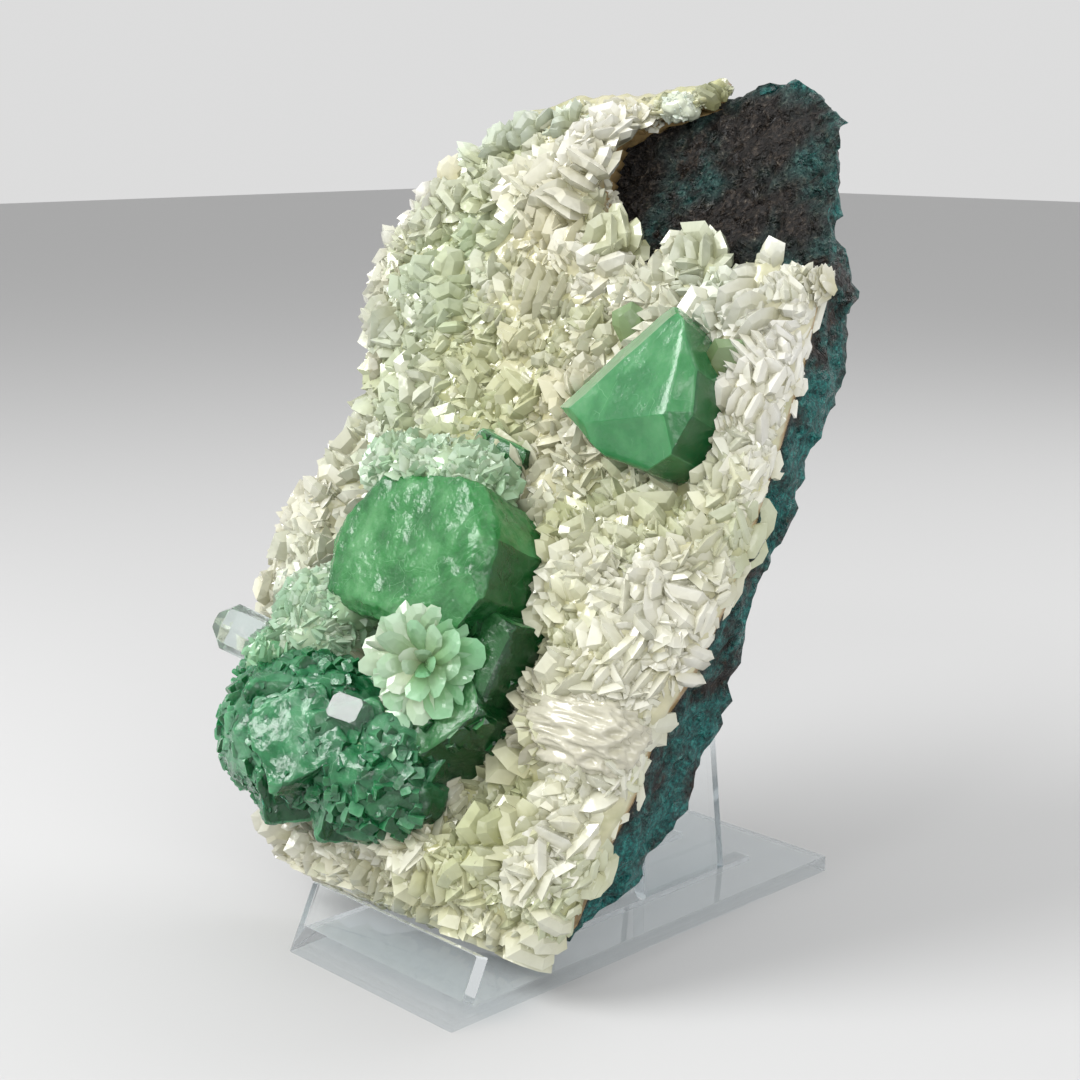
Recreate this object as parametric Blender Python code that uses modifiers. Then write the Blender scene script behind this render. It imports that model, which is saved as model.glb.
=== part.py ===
# Green apophyllite with stilbite on a basalt plate, leaning on a clear acrylic stand.
# Row frame: origin at the centre of the stand's underside, +X to the right seen from the
# front, +Y to the back, +Z up. Metres.
#
# The specimen is modelled upright in its own frame and leaned back by one empty:
# local X runs along the plate to the right, local Z up the plate, local -Y out of its front.
# In the notes below, "height over the front" is a distance along local -Y.

import math
import random

import bmesh
import bpy
import numpy as np
from mathutils import Matrix, Vector, noise

MM = 0.001

# Stand, cut from 3/16 inch clear sheet
SHEET = 4.77 * MM
BASE_WIDTH = 67.0 * MM
BASE_DEPTH = 152.0 * MM
LIP_TOP_BACK = 8.8 * MM
LIP_TOP_HEIGHT = 18.1 * MM
SLOT_CENTRE = 14.6 * MM
SLOT_WIDTH = 5.2 * MM
SLOT_FRONT = -22.0 * MM
SLOT_BACK = 59.0 * MM
EDGE_ROUND = 0.4 * MM
FIN_THICKNESS = 4.4 * MM
FIN_FRONT = 13.0 * MM
FIN_BACK = 47.5 * MM
FIN_TOP_FRONT = 21.6 * MM
FIN_TOP_BACK = 37.5 * MM
FIN_HEIGHT = 92.0 * MM
FIN_SHOULDER = 66.0 * MM
FIN_CORNER = 8.0 * MM
FIN_BACK_CORNER = 4.8 * MM
FIN_TOP_CORNER = 2.0 * MM
# How far the left sheet is slid forward in its slot to meet the plate
LEFT_FIN_SHIFT = -7.3 * MM

# Where the plate stands and how far it leans back
SPECIMEN_ORIGIN = (43.95 * MM, -43.9 * MM, 17.4 * MM)
LEAN = math.radians(26.8)

# Basalt plate: height along the plate, then its left and right edge there, in millimetres
PLATE_SIDES = (
    (-8, -98, -7), (5, -105, 0), (20, -113, 1), (40, -127, 5), (58, -137, 5), (75, -140, 11),
    (90, -137, 13), (104, -130, 15), (120, -125, 14), (140, -130, 14), (160, -138, 13),
    (178, -139, 11), (190, -131, 8), (205, -117, 3), (222, -106, 0), (240, -98, -5),
)
# Share of the width from left to right, then the bottom and the top edge there
PLATE_ENDS = (
    (0.00, -5, 222), (0.15, -7, 228), (0.35, -7, 230), (0.55, -6, 234), (0.68, -6, 240),
    (0.77, -5, 245), (0.88, -4, 240), (1.00, 1, 231),
)
# Height along the plate, then how thick it is at its right side and along its middle
PLATE_DEPTHS = (
    (-8, 3, 6), (3, 7, 12), (10, 12, 16), (18, 21, 21), (34, 26, 25), (51, 28, 26),
    (67, 26, 27), (80, 20, 27), (104, 13, 26), (128, 17, 26), (150, 20, 27), (176, 24, 26),
    (190, 25, 25), (200, 12, 20), (215, 9, 16), (232, 6, 10), (245, 4, 6),
)
PLATE_COLUMNS = 11
PLATE_ROWS = 18
PLATE_BACK_INSET = 5.0 * MM
PLATE_LEFT_THINNING = 0.55
PLATE_ROUGHNESS = 4.6 * MM
FRONT_RISE = 14.0 * MM
FRONT_RISE_START = -15.0 * MM
FRONT_RISE_END = -140.0 * MM

# Bare dark place at the upper right, an outline on the plate in millimetres
BARE_PATCH = (
    (-40, 270), (-42, 231), (-52, 225), (-61, 221), (-71, 215), (-72, 204), (-66, 194),
    (-55, 186), (-47, 175), (-39, 174), (-40, 184), (-31, 189), (-20, 183), (-12, 180),
    (-4, 184), (40, 185), (40, 270),
)

# Crust of stilbite blades
CRUST_GAP = 0.6 * MM
CRUST_THICKNESS = 9.5 * MM
CRUST_RIM = 4.0 * MM
CRUST_OVERHANG = 3.5 * MM
CRUST_COLUMNS = 12
CRUST_ROWS = 18
CRUST_WAVE = 3.0 * MM
# How steeply the crust rises from its left, right, bottom and top edge
CRUST_EDGES = (8.0, 14.0, 12.0, 12.0)
# Swellings of the crust: place on the plate, extra thickness and radius in millimetres
CRUST_SWELLINGS = (
    (-80, 112, 15, 17), (-99, 52, 15, 15), (-127, 92, 7, 14), (-100, 150, 5, 22),
    (-62, 150, 3, 20), (-70, 205, 5, 20), (-20, 92, 9, 22), (-14, 62, 6, 20),
    (-24, 9, 10, 16), (-46, 6, 8, 16), (-70, 3, 7, 16), (-8, 172, 3, 12), (14, 140, 7, 14),
)
BLADE_COUNT = 92
BLADE_SPACING = 12.5 * MM
BLADE_LENGTH = (12.5 * MM, 17.5 * MM)
BLADE_WIDTH = (9.0 * MM, 15.0 * MM)
BLADE_THICKNESS = (4.0 * MM, 6.5 * MM)
BLADE_ROOT = 7.0 * MM
BLADE_REACH = 27.0 * MM
BLADE_SEED = 11
BLADE_TRIES = 9000
# A blade's width at its foot and outer end, and the thickness there, as parts of its own
BLADE_TAPER = ((0.8, 1.0), (0.6, 0.45))
# How nearly square to the crust a blade must stand, and how far its way is shaken
BLADE_STEEPNESS = 0.55
BLADE_JITTER = 0.45
BLADE_SPREAD = 0.7
FAN_CENTRE = (-12, 46)
FAN_BLADES = 7
FAN_BLADE = (19.0 * MM, 15.0 * MM, 5.0 * MM)
# Blades that stand on the lip: their places across the plate, their foot and their size
REST_PLACES = (-22, -44, -66)
REST_FOOT = (17.5, 8.0)
REST_BLADE = (17.4 * MM, 13.0 * MM, 6.0 * MM)

# Green crystals: outlines on the plate in millimetres, and the heights over the front
UPPER_OUTLINE = (
    (-47, 134), (-16, 166), (-7, 160), (1, 148), (4, 136), (1, 125), (-8, 120), (-23, 122),
)
UPPER_FRONT = (28.5 * MM, 0.10, -0.02)
UPPER_ROOT = 3.0 * MM
MIDDLE_OUTLINE = (
    (-99, 72), (-101, 84), (-88, 102), (-64, 106), (-46, 102), (-38, 92), (-33, 72),
    (-41, 66), (-54, 63), (-83, 63),
)
MIDDLE_FRONT = (42.0 * MM, 0.05, 0.02)
MIDDLE_ROOT = 12.0 * MM
# The foot of these two as a part of their front's outline
TABLET_FOOT = 0.92
# Blocks: centre and size in millimetres (the second of each is along the height over the
# front), then the turns about local X, Y and Z in degrees
INNER_BLOCKS = (
    ((-47, 20, 60), (34, 22, 36), (8, 12, 6)),
    ((-44, 21, 46), (24, 20, 24), (-10, 40, -8)),
)
SMALL_BLOCKS = (
    ((-64, 17, 118), (17, 13, 11), (12, 10, 20)),
    ((-70, 16, 116), (12, 11, 10), (-20, 35, 10)),
)
LOWER_BLOCKS = (
    ((-85, 26, 27), (35, 35, 32), (12, 20, 10)),
    ((-94, 30, 25), (26, 27, 29), (-20, 35, 25)),
    ((-90, 35, 36), (26, 22, 21), (25, -20, 35)),
    ((-78, 38, 25), (24, 24, 24), (-15, 45, 15)),
    ((-88, 33, 15), (24, 24, 19), (30, 15, -25)),
    ((-69, 32, 31), (21, 22, 21), (10, -30, 40)),
    ((-98, 22, 38), (21, 22, 19), (-30, 20, 10)),
    ((-67, 27, 17), (21, 21, 18), (20, 30, -15)),
    ((-56, 22, 27), (27, 19, 24), (-8, 12, 14)),
)
BLOCK_CORNER = 0.15
COLOURLESS_ROOT = (-106, 32, 47)
COLOURLESS_AXIS = (-0.86, 0.48, 0.10)
COLOURLESS_LENGTH = 21.0 * MM
COLOURLESS_WIDTH = 14.0 * MM
# Parts of its width: how far its end is cut in, how high the end stands, how flat it is
COLOURLESS_TIP = (0.27, 0.28, 0.8)

ROSETTE_CENTRE = (-48, 38, 56)
ROSETTE_BLADES = 22
ROSETTE_RADIUS = 16.0 * MM
ROSETTE_CORE = 6.5 * MM
ROSETTE_SPAN = 1.72
ROSETTE_BLADE = (12.0 * MM, 4.0 * MM)

# Room left between pieces that touch
CLEARANCE = 0.35 * MM


def clear_scene():
    for obj in list(bpy.data.objects):
        bpy.data.objects.remove(obj)


def new_collection(name):
    collection = bpy.data.collections.new(name)
    bpy.context.scene.collection.children.link(collection)
    return collection


def make_material(name, colour, roughness):
    material = bpy.data.materials.new(name)
    material.use_nodes = True
    shader = material.node_tree.nodes["Principled BSDF"]
    shader.inputs["Base Color"].default_value = (*colour, 1.0)
    shader.inputs["Roughness"].default_value = roughness
    shader.inputs["Metallic"].default_value = 0.0
    return material


def add_object(name, mesh, collection, material=None, parent=None):
    obj = bpy.data.objects.new(name, mesh)
    collection.objects.link(obj)
    obj.parent = parent
    if material:
        obj.data.materials.clear()
        obj.data.materials.append(material)
    return obj


def mesh_from(bm, name):
    bmesh.ops.triangulate(bm, faces=bm.faces)
    bmesh.ops.recalc_face_normals(bm, faces=bm.faces)
    mesh = bpy.data.meshes.new(name)
    bm.to_mesh(mesh)
    bm.free()
    return mesh


def hide_cutter(obj):
    obj.hide_render = True
    obj.display_type = "WIRE"


def add_boolean(obj, other, operation, use_self=False, solver="EXACT"):
    modifier = obj.modifiers.new(operation.lower(), "BOOLEAN")
    modifier.operation = operation
    modifier.object = other
    modifier.solver = solver
    if solver == "EXACT":
        modifier.use_self = use_self


def bake_modifiers(obj):
    """Replace the object's mesh with the result of its modifiers."""
    depsgraph = bpy.context.evaluated_depsgraph_get()
    mesh = bpy.data.meshes.new_from_object(obj.evaluated_get(depsgraph))
    obj.modifiers.clear()
    obj.data = mesh


def keep_largest_body(obj):
    """Drop the crumbs that cutting leaves beside the main body."""
    bm = bmesh.new()
    bm.from_mesh(obj.data)
    bmesh.ops.triangulate(bm, faces=bm.faces)
    seen = set()
    bodies = []
    for start in bm.faces:
        if start in seen:
            continue
        body = [start]
        seen.add(start)
        for face in body:
            for edge in face.edges:
                for neighbour in edge.link_faces:
                    if neighbour not in seen:
                        seen.add(neighbour)
                        body.append(neighbour)
        bodies.append(body)
    bodies.sort(key=len)
    crumbs = [face for body in bodies[:-1] for face in body]
    bmesh.ops.delete(bm, geom=crumbs, context="FACES")
    bm.to_mesh(obj.data)
    bm.free()


def enlarged_copy(obj, collection, amount):
    """A cutter that is the object grown outwards by the given amount."""
    bm = bmesh.new()
    bm.from_mesh(obj.data)
    bm.normal_update()
    moves = [vert.normal * amount * min(vert.calc_shell_factor(), 2.5) for vert in bm.verts]
    for vert, move in zip(bm.verts, moves):
        vert.co += move
    cutter = add_object(obj.name + "_cutter", mesh_from(bm, obj.name + "_cutter"), collection)
    cutter.parent = obj.parent
    hide_cutter(cutter)
    return cutter


def on_plate(across, up, over):
    """A point in the specimen's own frame, from millimetres on the plate."""
    return Vector((across * MM, -over * MM, up * MM))


def front_height(across):
    """How far the plate's front bulges forward at this place across it."""
    share = (across - FRONT_RISE_START) / (FRONT_RISE_END - FRONT_RISE_START)
    share = min(max(share, 0.0), 1.1)
    return FRONT_RISE * share ** 1.3


def row_value(table, at, column):
    rows = np.array(table, dtype=float)
    return float(np.interp(at, rows[:, 0], rows[:, column]))


def place_on_outline(share_across, share_up, margin):
    """Point of the plate's outline grid, with the outline grown by margin at three sides."""
    bottom = row_value(PLATE_ENDS, share_across, 1) * MM - margin
    top = row_value(PLATE_ENDS, share_across, 2) * MM + margin
    up = bottom + (top - bottom) * share_up
    left = row_value(PLATE_SIDES, up / MM, 1) * MM - margin
    right = row_value(PLATE_SIDES, up / MM, 2) * MM
    return left + (right - left) * share_across, up


def in_outline(point, outline):
    """Whether a point lies inside a closed outline."""
    inside = False
    for (ax, ay), (bx, by) in zip(outline, outline[1:] + outline[:1]):
        if (ay > point[1]) != (by > point[1]):
            crossing = ax + (point[1] - ay) * (bx - ax) / (by - ay)
            if point[0] < crossing:
                inside = not inside
    return inside


def plate_grid(columns, rows, margin):
    """A flat grid laid over the plate's outline, with each vertex's shares kept in order."""
    bm = bmesh.new()
    bmesh.ops.create_grid(bm, x_segments=columns, y_segments=rows, size=0.5)
    shares = []
    for vert in bm.verts:
        share = (vert.co.x + 0.5, vert.co.y + 0.5)
        shares.append(share)
        across, up = place_on_outline(*share, margin)
        vert.co = Vector((across, 0.0, up))
    return bm, shares


def extrude_back(bm):
    """Extrude the whole grid and return the new vertices paired with the old ones."""
    old = list(bm.verts)
    result = bmesh.ops.extrude_face_region(bm, geom=list(bm.faces))
    new = [item for item in result["geom"] if isinstance(item, bmesh.types.BMVert)]
    return old, new


def plate_depth(across, up, share_across):
    """Thickness of the basalt, thinner to the left and at the right edge."""
    at_side = row_value(PLATE_DEPTHS, up / MM, 1) * MM
    at_middle = row_value(PLATE_DEPTHS, up / MM, 2) * MM
    right_blend = min((1.0 - share_across) / 0.25, 1.0)
    left_blend = 1.0 - PLATE_LEFT_THINNING * max(0.0, 1.0 - share_across / 0.75) ** 1.2
    return (at_side + (at_middle - at_side) * right_blend) * left_blend


def rough(point, scale):
    """A repeatable bump between about -1 and 1."""
    return noise.fractal(point * scale, 0.8, 2.1, 3)


def build_basalt(collection, material, parent):
    bm, shares = plate_grid(PLATE_COLUMNS, PLATE_ROWS, 0.0)
    front, back = extrude_back(bm)
    for vert, far, share in zip(front, back, shares):
        across, up = vert.co.x, vert.co.z
        height = front_height(across)
        if in_outline((across / MM, up / MM), BARE_PATCH):
            height += PLATE_ROUGHNESS * 0.5 * rough(Vector((across, 0.0, up)), 55.0) - 1.2 * MM
        depth = plate_depth(across, up, share[0])
        bump = PLATE_ROUGHNESS * rough(Vector((across, 0.05, up)), 58.0)
        bump = max(bump, -0.35 * depth)
        inset = PLATE_BACK_INSET * (share[0] - 0.5) * 2.0
        vert.co.y = -height
        far.co = Vector((across - inset, -height + depth + bump, up))
    front_set = set(front)
    side_edges = []
    for edge in bm.edges:
        if (edge.verts[0] in front_set) != (edge.verts[1] in front_set):
            side_edges.append(edge)
    split = bmesh.ops.subdivide_edges(bm, edges=side_edges, cuts=2, use_grid_fill=True)
    middles = [item for item in split["geom_inner"] if isinstance(item, bmesh.types.BMVert)]
    bm.normal_update()
    for vert in middles:
        vert.co += vert.normal * PLATE_ROUGHNESS * 0.9 * rough(vert.co, 60.0)
    mesh = mesh_from(bm, "basalt_matrix")
    return add_object("basalt_matrix", mesh, collection, material, parent)


def crust_height(across, up):
    """Height of the crust's own surface over the plate's front, without its blades."""
    extra = 0.0
    for centre_x, centre_z, rise, radius in CRUST_SWELLINGS:
        distance = math.hypot(across / MM - centre_x, up / MM - centre_z)
        extra += rise * MM * math.exp(-((distance / radius) ** 2))
    wave = CRUST_WAVE * rough(Vector((across, 0.11, up)), 32.0)
    return CRUST_THICKNESS + extra + wave


def crust_surface(share_across, share_up, margin):
    """Point on the crust's surface for a place in the grid."""
    across, up = place_on_outline(share_across, share_up, margin)
    left, right, bottom, top = CRUST_EDGES
    edge = min(
        share_across * left, (1.0 - share_across) * right, share_up * bottom,
        (1.0 - share_up) * top, 1.0,
    )
    height = CRUST_RIM + (crust_height(across, up) - CRUST_RIM) * math.sqrt(max(edge, 0.0))
    return Vector((across, -(front_height(across) + height), up))


def build_crust_slab(collection, material, parent):
    bm, shares = plate_grid(CRUST_COLUMNS, CRUST_ROWS, CRUST_OVERHANG)
    front, back = extrude_back(bm)
    for vert, far, share in zip(front, back, shares):
        across, up = vert.co.x, vert.co.z
        vert.co = crust_surface(*share, CRUST_OVERHANG)
        far.co = Vector((across, -(front_height(across) + CRUST_GAP), up))
    mesh = mesh_from(bm, "stilbite_crust")
    return add_object("stilbite_crust", mesh, collection, material, parent)


def add_blade(bm, place, direction, width_axis, length, width, thickness, lean):
    """One flat stilbite blade: a box whose outer end runs to a narrow oblique edge."""
    side = width_axis - direction * width_axis.dot(direction)
    side.normalize()
    flat = direction.cross(side)
    frame = Matrix((side, flat, direction)).transposed().to_4x4()
    frame.translation = place
    made = bmesh.ops.create_cube(bm, size=1.0)["verts"]
    for vert in made:
        outer = vert.co.z > 0.0
        across, through = BLADE_TAPER[outer]
        x = vert.co.x * width * across + (lean * width if outer else 0.0)
        y = vert.co.y * thickness * through
        z = length * (1.0 if outer else 0.0) + (vert.co.x * lean * width * 0.8 if outer else 0.0)
        vert.co = frame @ Vector((x, y, z))


def surface_normal(share_across, share_up):
    """Outward direction of the crust at a place in its grid."""
    step = 0.02
    here = crust_surface(share_across, share_up, CRUST_OVERHANG)
    right = crust_surface(min(share_across + step, 1.0), share_up, CRUST_OVERHANG)
    left = crust_surface(max(share_across - step, 0.0), share_up, CRUST_OVERHANG)
    above = crust_surface(share_across, min(share_up + step, 1.0), CRUST_OVERHANG)
    below = crust_surface(share_across, max(share_up - step, 0.0), CRUST_OVERHANG)
    return here, (right - left).cross(above - below).normalized()


def crystal_covers(point, margin):
    """Whether a place on the plate lies under one of the two large crystals."""
    for outline in (UPPER_OUTLINE, MIDDLE_OUTLINE):
        middle = np.mean(outline, axis=0)
        shrunk = tuple(tuple(middle + (np.array(corner) - middle) * margin) for corner in outline)
        if in_outline(point, shrunk):
            return True
    return False


def scatter_blades():
    """Blades over the crust, spaced by rule, that stand nearly square to it."""
    chance = random.Random(BLADE_SEED)
    blades = []
    tries = 0
    while len(blades) < BLADE_COUNT and tries < BLADE_TRIES:
        tries += 1
        share = (chance.uniform(0.025, 0.985), chance.uniform(0.02, 0.98))
        place, normal = surface_normal(*share)
        spot = (place.x / MM, place.z / MM)
        if in_outline(spot, BARE_PATCH) or crystal_covers(spot, 0.8):
            continue
        if any((place - other[0]).length < BLADE_SPACING for other in blades):
            continue
        outward = Vector((share[0] - 0.5, 0.0, share[1] - 0.5)) * BLADE_SPREAD
        if share[0] > 0.9:
            outward.x = 0.0
        jitter = Vector([chance.uniform(-BLADE_JITTER, BLADE_JITTER) for _ in range(3)])
        direction = (normal + outward + jitter).normalized()
        if direction.dot(normal) < BLADE_STEEPNESS:
            direction = (direction + normal).normalized()
        foot = place - direction * BLADE_ROOT
        width_axis = Vector([chance.uniform(-1.0, 1.0) for _ in range(3)])
        size = [chance.uniform(*span) for span in (BLADE_LENGTH, BLADE_WIDTH, BLADE_THICKNESS)]
        blades.append((foot, direction, width_axis, *size, chance.uniform(-0.35, 0.35)))
    return blades


def white_fan():
    """The broad sheaf of upright blades low on the right."""
    blades = []
    for index in range(FAN_BLADES):
        share = index / (FAN_BLADES - 1) - 0.5
        height = front_height(FAN_CENTRE[0] * MM) / MM + 9.0
        foot = on_plate(FAN_CENTRE[0] + share * 8.0, FAN_CENTRE[1], height)
        direction = Vector((share * 1.5, -0.85, 0.75 - abs(share))).normalized()
        blades.append((foot, direction, Vector((0.0, 0.2, 1.0)), *FAN_BLADE, 0.1))
    return blades


def rest_blades():
    """The blades at the lower end that carry the specimen on the lip."""
    over, up = REST_FOOT
    down = Vector((0.0, 0.0, -1.0))
    side = Vector((1.0, 0.0, 0.0))
    return [(on_plate(across, up, over), down, side, *REST_BLADE, 0.0) for across in REST_PLACES]


def split_into_batches(blades, reach):
    """Sort blades into groups in which none can touch another."""
    batches = []
    for blade in blades:
        middle = blade[0] + blade[1] * blade[3] * 0.5
        for batch in batches:
            if all((middle - other).length > reach for other, _ in batch):
                batch.append((middle, blade))
                break
        else:
            batches.append([(middle, blade)])
    return [[blade for _, blade in batch] for batch in batches]


def fuse_blades(obj, blades, reach, cutters, parent):
    """Join blades to the body they grow from, one batch of separate blades at a time."""
    for index, batch in enumerate(split_into_batches(blades, reach)):
        bm = bmesh.new()
        for blade in batch:
            add_blade(bm, *blade)
        name = f"{obj.name}_blades_{index}"
        other = add_object(name, mesh_from(bm, name), cutters, None, parent)
        hide_cutter(other)
        add_boolean(obj, other, "UNION", solver="MANIFOLD")


def build_patch_cutter(collection, parent):
    bm = bmesh.new()
    corners = [bm.verts.new(on_plate(x, z, -20.0)) for x, z in BARE_PATCH]
    bm.faces.new(corners)
    _, new = extrude_back(bm)
    for vert in new:
        vert.co.y = -60.0 * MM
    cutter = add_object("patch_cutter", mesh_from(bm, "patch_cutter"), collection, None, parent)
    hide_cutter(cutter)
    return cutter


def build_back_cutter(collection, parent):
    """Everything behind the plate's front, with a small gap in front of it."""
    bm = bmesh.new()
    bmesh.ops.create_grid(bm, x_segments=24, y_segments=1, size=0.5)
    for vert in bm.verts:
        across = vert.co.x * 0.24 - 0.06
        height = front_height(across) + CRUST_GAP * 0.75
        vert.co = Vector((across, -height, vert.co.y * 0.5 + 0.11))
    _, new = extrude_back(bm)
    for vert in new:
        vert.co.y += 0.08
    cutter = add_object("back_cutter", mesh_from(bm, "back_cutter"), collection, None, parent)
    hide_cutter(cutter)
    return cutter


def build_tablet(name, outline, root, front, bevels, collection, material, parent):
    """A large blocky crystal: an outline extruded forward, with its front edges cut off."""
    bm = bmesh.new()
    middle = Vector((sum(x for x, z in outline), sum(z for x, z in outline))) / len(outline)
    height, tilt_across, tilt_up = front
    corners = []
    for x, z in outline:
        inner = middle + (Vector((x, z)) - middle) * TABLET_FOOT
        corners.append(bm.verts.new(on_plate(inner.x, inner.y, root / MM)))
    bm.faces.new(corners)
    _, new = extrude_back(bm)
    for vert, (x, z) in zip(new, outline):
        over = height / MM + tilt_across * (x - middle.x) + tilt_up * (z - middle.y)
        vert.co = on_plate(x, z, over)
    bm.edges.ensure_lookup_table()
    for (first, last), width in bevels:
        picked = []
        for index in range(first, last):
            ends = {new[index % len(outline)], new[(index + 1) % len(outline)]}
            picked += [edge for edge in bm.edges if set(edge.verts) == ends]
        if picked:
            bmesh.ops.bevel(bm, geom=picked, offset=width, affect="EDGES", segments=1, profile=0.5)
    return add_object(name, mesh_from(bm, name), collection, material, parent)


def add_block(bm, centre, size, turns):
    """A crystal block with its eight corners cut off, the habit of apophyllite."""
    corner = min(size) * BLOCK_CORNER * MM
    block = bmesh.new()
    bmesh.ops.create_cube(block, size=1.0)
    bmesh.ops.scale(block, vec=Vector(size) * MM, verts=block.verts)
    bmesh.ops.bevel(block, geom=block.verts[:], offset=corner, affect="VERTICES", segments=1, profile=0.5)
    turn = Matrix.Identity(4)
    for angle, axis in zip(turns, "XYZ"):
        turn = Matrix.Rotation(math.radians(angle), 4, axis) @ turn
    turn.translation = on_plate(centre[0], centre[2], centre[1])
    block.transform(turn)
    mesh = bpy.data.meshes.new("block")
    block.to_mesh(mesh)
    block.free()
    bm.from_mesh(mesh)
    bpy.data.meshes.remove(mesh)


def build_cluster(name, blocks, collection, cutters, material, parent):
    """Blocks grown together, fused into one body."""
    first = bmesh.new()
    add_block(first, *blocks[0])
    cluster = add_object(name, mesh_from(first, name), collection, material, parent)
    rest = bmesh.new()
    for block in blocks[1:]:
        add_block(rest, *block)
    other = add_object(name + "_rest", mesh_from(rest, name + "_rest"), cutters, None, parent)
    hide_cutter(other)
    add_boolean(cluster, other, "UNION", use_self=True)
    return cluster


def build_rosette(collection, cutters, material, parent):
    """Blades that radiate from one point, most of them towards the front."""
    centre = on_plate(ROSETTE_CENTRE[0], ROSETTE_CENTRE[2], ROSETTE_CENTRE[1])
    core = bmesh.new()
    bmesh.ops.create_icosphere(core, subdivisions=1, radius=ROSETTE_CORE)
    bmesh.ops.translate(core, vec=centre, verts=core.verts)
    mesh = mesh_from(core, "stilbite_rosette")
    rosette = add_object("stilbite_rosette", mesh, collection, material, parent)
    blades = []
    golden = math.pi * (3.0 - math.sqrt(5.0))
    for index in range(ROSETTE_BLADES):
        slope = 1.0 - ROSETTE_SPAN * (index + 0.5) / ROSETTE_BLADES
        ring = math.sqrt(1.0 - slope * slope)
        turn = golden * index
        direction = Vector((ring * math.cos(turn), -slope, ring * math.sin(turn)))
        around = Vector((-math.sin(turn), 0.3, math.cos(turn)))
        length = ROSETTE_RADIUS * (1.0 + 0.12 * math.sin(index * 2.3))
        foot = centre + direction * (1.0 + 0.1 * index) * MM
        blades.append((foot, direction, around, length, *ROSETTE_BLADE, 0.12 * math.sin(index)))
    fuse_blades(rosette, blades, 1.0, cutters, parent)
    return rosette


def build_colourless(collection, material, parent):
    """A four-sided prism with bevelled edges and a blunt pyramid at its end."""
    bm = bmesh.new()
    made = bmesh.ops.create_cone(
        bm, cap_ends=True, segments=8, radius1=COLOURLESS_WIDTH / 2, radius2=COLOURLESS_WIDTH / 2,
        depth=COLOURLESS_LENGTH,
    )["verts"]
    top = [vert for vert in made if vert.co.z > 0.0]
    top_face = [face for face in bm.faces if all(vert in top for vert in face.verts)]
    cut_in, rise, flatness = COLOURLESS_TIP
    bmesh.ops.inset_region(bm, faces=top_face, thickness=COLOURLESS_WIDTH * cut_in, depth=0.0)
    for vert in top_face[0].verts:
        vert.co.z += COLOURLESS_WIDTH * rise
    bmesh.ops.scale(bm, vec=Vector((1.0, flatness, 1.0)), verts=bm.verts)
    axis = Vector((COLOURLESS_AXIS[0], -COLOURLESS_AXIS[1], COLOURLESS_AXIS[2])).normalized()
    root = on_plate(COLOURLESS_ROOT[0], COLOURLESS_ROOT[2], COLOURLESS_ROOT[1])
    turn = axis.to_track_quat("Z", "X").to_matrix().to_4x4()
    turn.translation = root + axis * COLOURLESS_LENGTH / 2
    bm.transform(turn)
    mesh = mesh_from(bm, "colourless_apophyllite")
    return add_object("colourless_apophyllite", mesh, collection, material, parent)


def arc(centre, radius, start, end, steps):
    """Points of an arc in degrees, as pairs."""
    points = []
    for step in range(steps + 1):
        angle = math.radians(start + (end - start) * step / steps)
        points.append((centre[0] + radius * math.cos(angle), centre[1] + radius * math.sin(angle)))
    return points


def extrude_outline(name, outline, half_width, centre_x):
    """A mesh of an outline in the YZ plane, extruded along X about centre_x."""
    curve = bpy.data.curves.new(name, "CURVE")
    curve.dimensions = "2D"
    curve.fill_mode = "BOTH"
    curve.extrude = half_width
    spline = curve.splines.new("POLY")
    spline.points.add(len(outline) - 1)
    for point, (y, z) in zip(spline.points, outline):
        point.co = (y, z, 0.0, 1.0)
    spline.use_cyclic_u = True
    flat = bpy.data.objects.new(name + "_outline", curve)
    bpy.context.scene.collection.objects.link(flat)
    depsgraph = bpy.context.evaluated_depsgraph_get()
    mesh = bpy.data.meshes.new_from_object(flat.evaluated_get(depsgraph))
    bpy.data.objects.remove(flat)
    bpy.data.curves.remove(curve)
    bm = bmesh.new()
    bm.from_mesh(mesh)
    bpy.data.meshes.remove(mesh)
    bmesh.ops.remove_doubles(bm, verts=bm.verts, dist=0.00001)
    bmesh.ops.dissolve_limit(bm, angle_limit=0.001, verts=bm.verts, edges=bm.edges)
    for vert in bm.verts:
        vert.co = Vector((vert.co.z + centre_x, vert.co.x, vert.co.y))
    return mesh_from(bm, name)


def build_stand_base(collection, cutters, material):
    """Base and front lip, one bent sheet, with two slots for the fins."""
    front = -BASE_DEPTH / 2
    along = Vector((LIP_TOP_BACK, LIP_TOP_HEIGHT)).normalized()
    inward = Vector((along.y, -along.x)) * SHEET
    lip_top = Vector((front + LIP_TOP_BACK, LIP_TOP_HEIGHT))
    inner_top = lip_top + inward
    inner_foot = inner_top - along * ((inner_top.y - SHEET) / along.y)
    outline = [
        (front, 0.0), (BASE_DEPTH / 2, 0.0), (BASE_DEPTH / 2, SHEET), tuple(inner_foot),
        tuple(inner_top), tuple(lip_top),
    ]
    mesh = extrude_outline("stand_base", outline, BASE_WIDTH / 2, 0.0)
    base = add_object("stand_base", mesh, collection, material)
    bevel = base.modifiers.new("edges", "BEVEL")
    bevel.width = EDGE_ROUND
    bevel.segments = 1
    bevel.limit_method = "ANGLE"
    for sign in (-1, 1):
        slot = bmesh.new()
        bmesh.ops.create_cube(slot, size=1.0)
        bmesh.ops.scale(slot, vec=(SLOT_WIDTH, SLOT_BACK - SLOT_FRONT, SHEET * 3), verts=slot.verts)
        shift = Vector((sign * SLOT_CENTRE, (SLOT_BACK + SLOT_FRONT) / 2, SHEET / 2))
        bmesh.ops.translate(slot, vec=shift, verts=slot.verts)
        cutter = add_object("slot_cutter", mesh_from(slot, "slot_cutter"), cutters)
        hide_cutter(cutter)
        add_boolean(base, cutter, "DIFFERENCE")
    return base


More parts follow.
